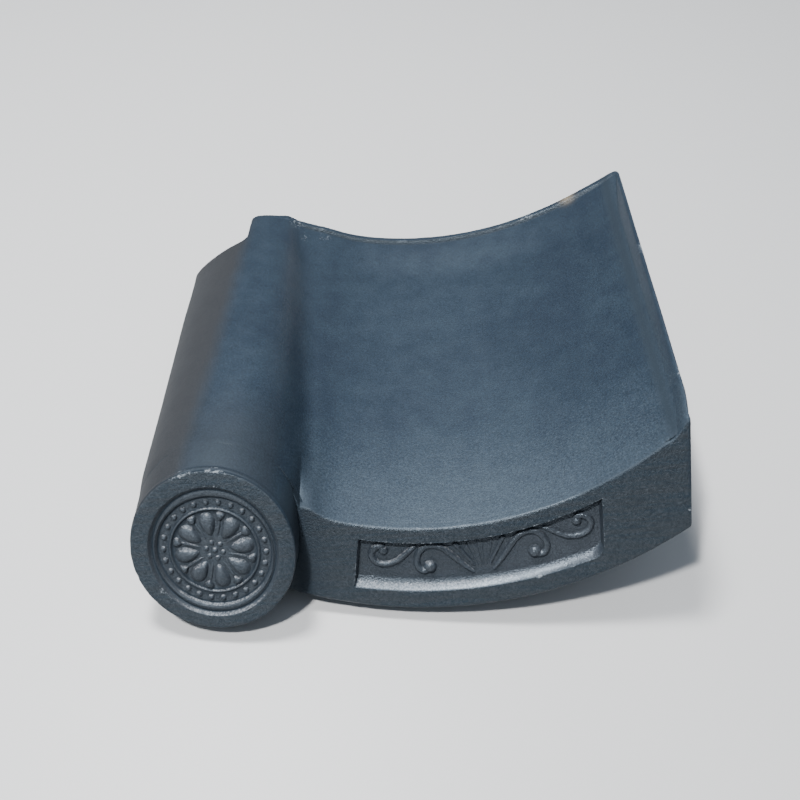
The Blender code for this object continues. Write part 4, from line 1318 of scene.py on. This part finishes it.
def scrollwork():
    bars = scrollwork_tree()
    balls = dome_ring_tree()
    meshes = []
    for guides in ((INNER_SCROLL, OUTER_SCROLL), FAN_RAYS):
        meshes.append(evaluated_mesh("bars", guide_curve(guides), bars, {}, face_matrix(out=FLOOR_OUT)))
    for side in (-1, 1):
        for along, above, radius in SCROLL_BALLS:
            size = radius * MM
            meshes.append(domes(
                balls, face_matrix(*panel_place(along, above, side), FLOOR_OUT), count=1, ring_radius=0.0,
                length=2 * size, width=2 * size, height=BALL_HEIGHT * size, facets=32, rings=12,
            ))
    return joined("tile_scrollwork", meshes)


shell = rows_mesh("tile_shell", shell_rows(), shell_ends())
pendant = rows_mesh("tile_pendant", pendant_rows())
medallion = rows_mesh("tile_medallion", disc_rows())
lug = rows_mesh("tile_lug", lug_rows())
relief = medallion_relief()
scrolls = scrollwork()


# --- Floor, camera and lights ---

FLOOR_REACH = 3.0
FLOOR_GREY = (0.42, 0.42, 0.42, 1)
CAMERA_AZIMUTH = math.radians(6.358)
CAMERA_ELEVATION = math.radians(42.5701)
CAMERA_ROLL = math.radians(-8.644)
CAMERA_TARGET = (5.3 * MM, 103.8 * MM, 0.0)
CAMERA_DISTANCE = 589.1 * MM
CAMERA_LENS = 42.97

# Each light: its name, which way it lies in the drawing frame, how far off, its size, its power and its colour
LIGHTS = (
    ("key", (-3.6, -10.3, 24.0), 1.8, 0.12, 56, (1.0, 1.0, 1.0)),
    ("overhead", (-1.6, 2.4, 20.0), 1.6, 0.3, 47, (1.0, 1.0, 1.0)),
    ("left", (-20.0, -4.0, 9.0), 2.0, 2.0, 4.5, (0.88, 0.95, 1.0)),
    ("far_right", (12.0, 14.0, 6.0), 2.0, 2.0, 3.5, (0.85, 0.92, 1.0)),
    ("sky", (5.0, 19.0, 22.0), 2.4, 3.4, 7.5, (0.8, 0.9, 1.0)),
)
ROOM_LOW = (0.03, 0.03, 0.035, 1)
ROOM_HIGH = (0.42, 0.49, 0.58, 1)


def add_floor():
    mesh = bpy.data.meshes.new("floor")
    corners = [(x * FLOOR_REACH, y * FLOOR_REACH, 0.0) for x, y in ((-1, -1), (1, -1), (1, 1), (-1, 1))]
    mesh.from_pydata(corners, [], [(0, 1, 2, 3)])
    pale = bpy.data.materials.new("pale_floor")
    pale.use_nodes = True
    pale.node_tree.nodes["Principled BSDF"].inputs["Base Color"].default_value = FLOOR_GREY
    mesh.materials.append(pale)
    return placed("floor", mesh)


def add_camera():
    turn = Matrix()
    for angle, axis in ((CAMERA_AZIMUTH, "Z"), (math.pi / 2 - CAMERA_ELEVATION, "X"), (CAMERA_ROLL, "Z")):
        turn = turn @ Matrix.Rotation(angle, 4, axis)
    back = Matrix.Translation((0.0, 0.0, CAMERA_DISTANCE))
    camera = bpy.data.cameras.new("camera")
    camera.lens = CAMERA_LENS
    obj = placed("camera", camera)
    obj.matrix_world = SEAT @ Matrix.Translation(CAMERA_TARGET) @ turn @ back
    bpy.context.scene.camera = obj


def add_light(name, toward, distance, size, energy, colour):
    light = bpy.data.lights.new(name, "AREA")
    light.size = size
    light.energy = energy
    light.color = colour
    away = (SEAT.to_3x3() @ Vector(toward)).normalized()
    turn = away.to_track_quat("Z", "Y").to_matrix().to_4x4()
    placed(name, light).matrix_world = Matrix.Translation(away * distance) @ turn


def add_surroundings():
    """A plain room: pale above, darker down by the floor."""
    world = bpy.data.worlds.new("studio")
    world.use_nodes = True
    make = Wiring(world.node_tree)
    height = make.apart(make.add("ShaderNodeTexCoord")["Generated"])[2]
    colour = make.mix(make.between(height, 0.0, 0.9), ROOM_LOW, ROOM_HIGH)
    make.plug(world.node_tree.nodes["Background"].inputs["Color"], colour)
    bpy.context.scene.world = world


floor = add_floor()
add_camera()
for light in LIGHTS:
    add_light(*light)
add_surroundings()

for piece in (shell, pendant, medallion, lug, relief, scrolls):
    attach(piece, "root")
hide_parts("eave_tile")
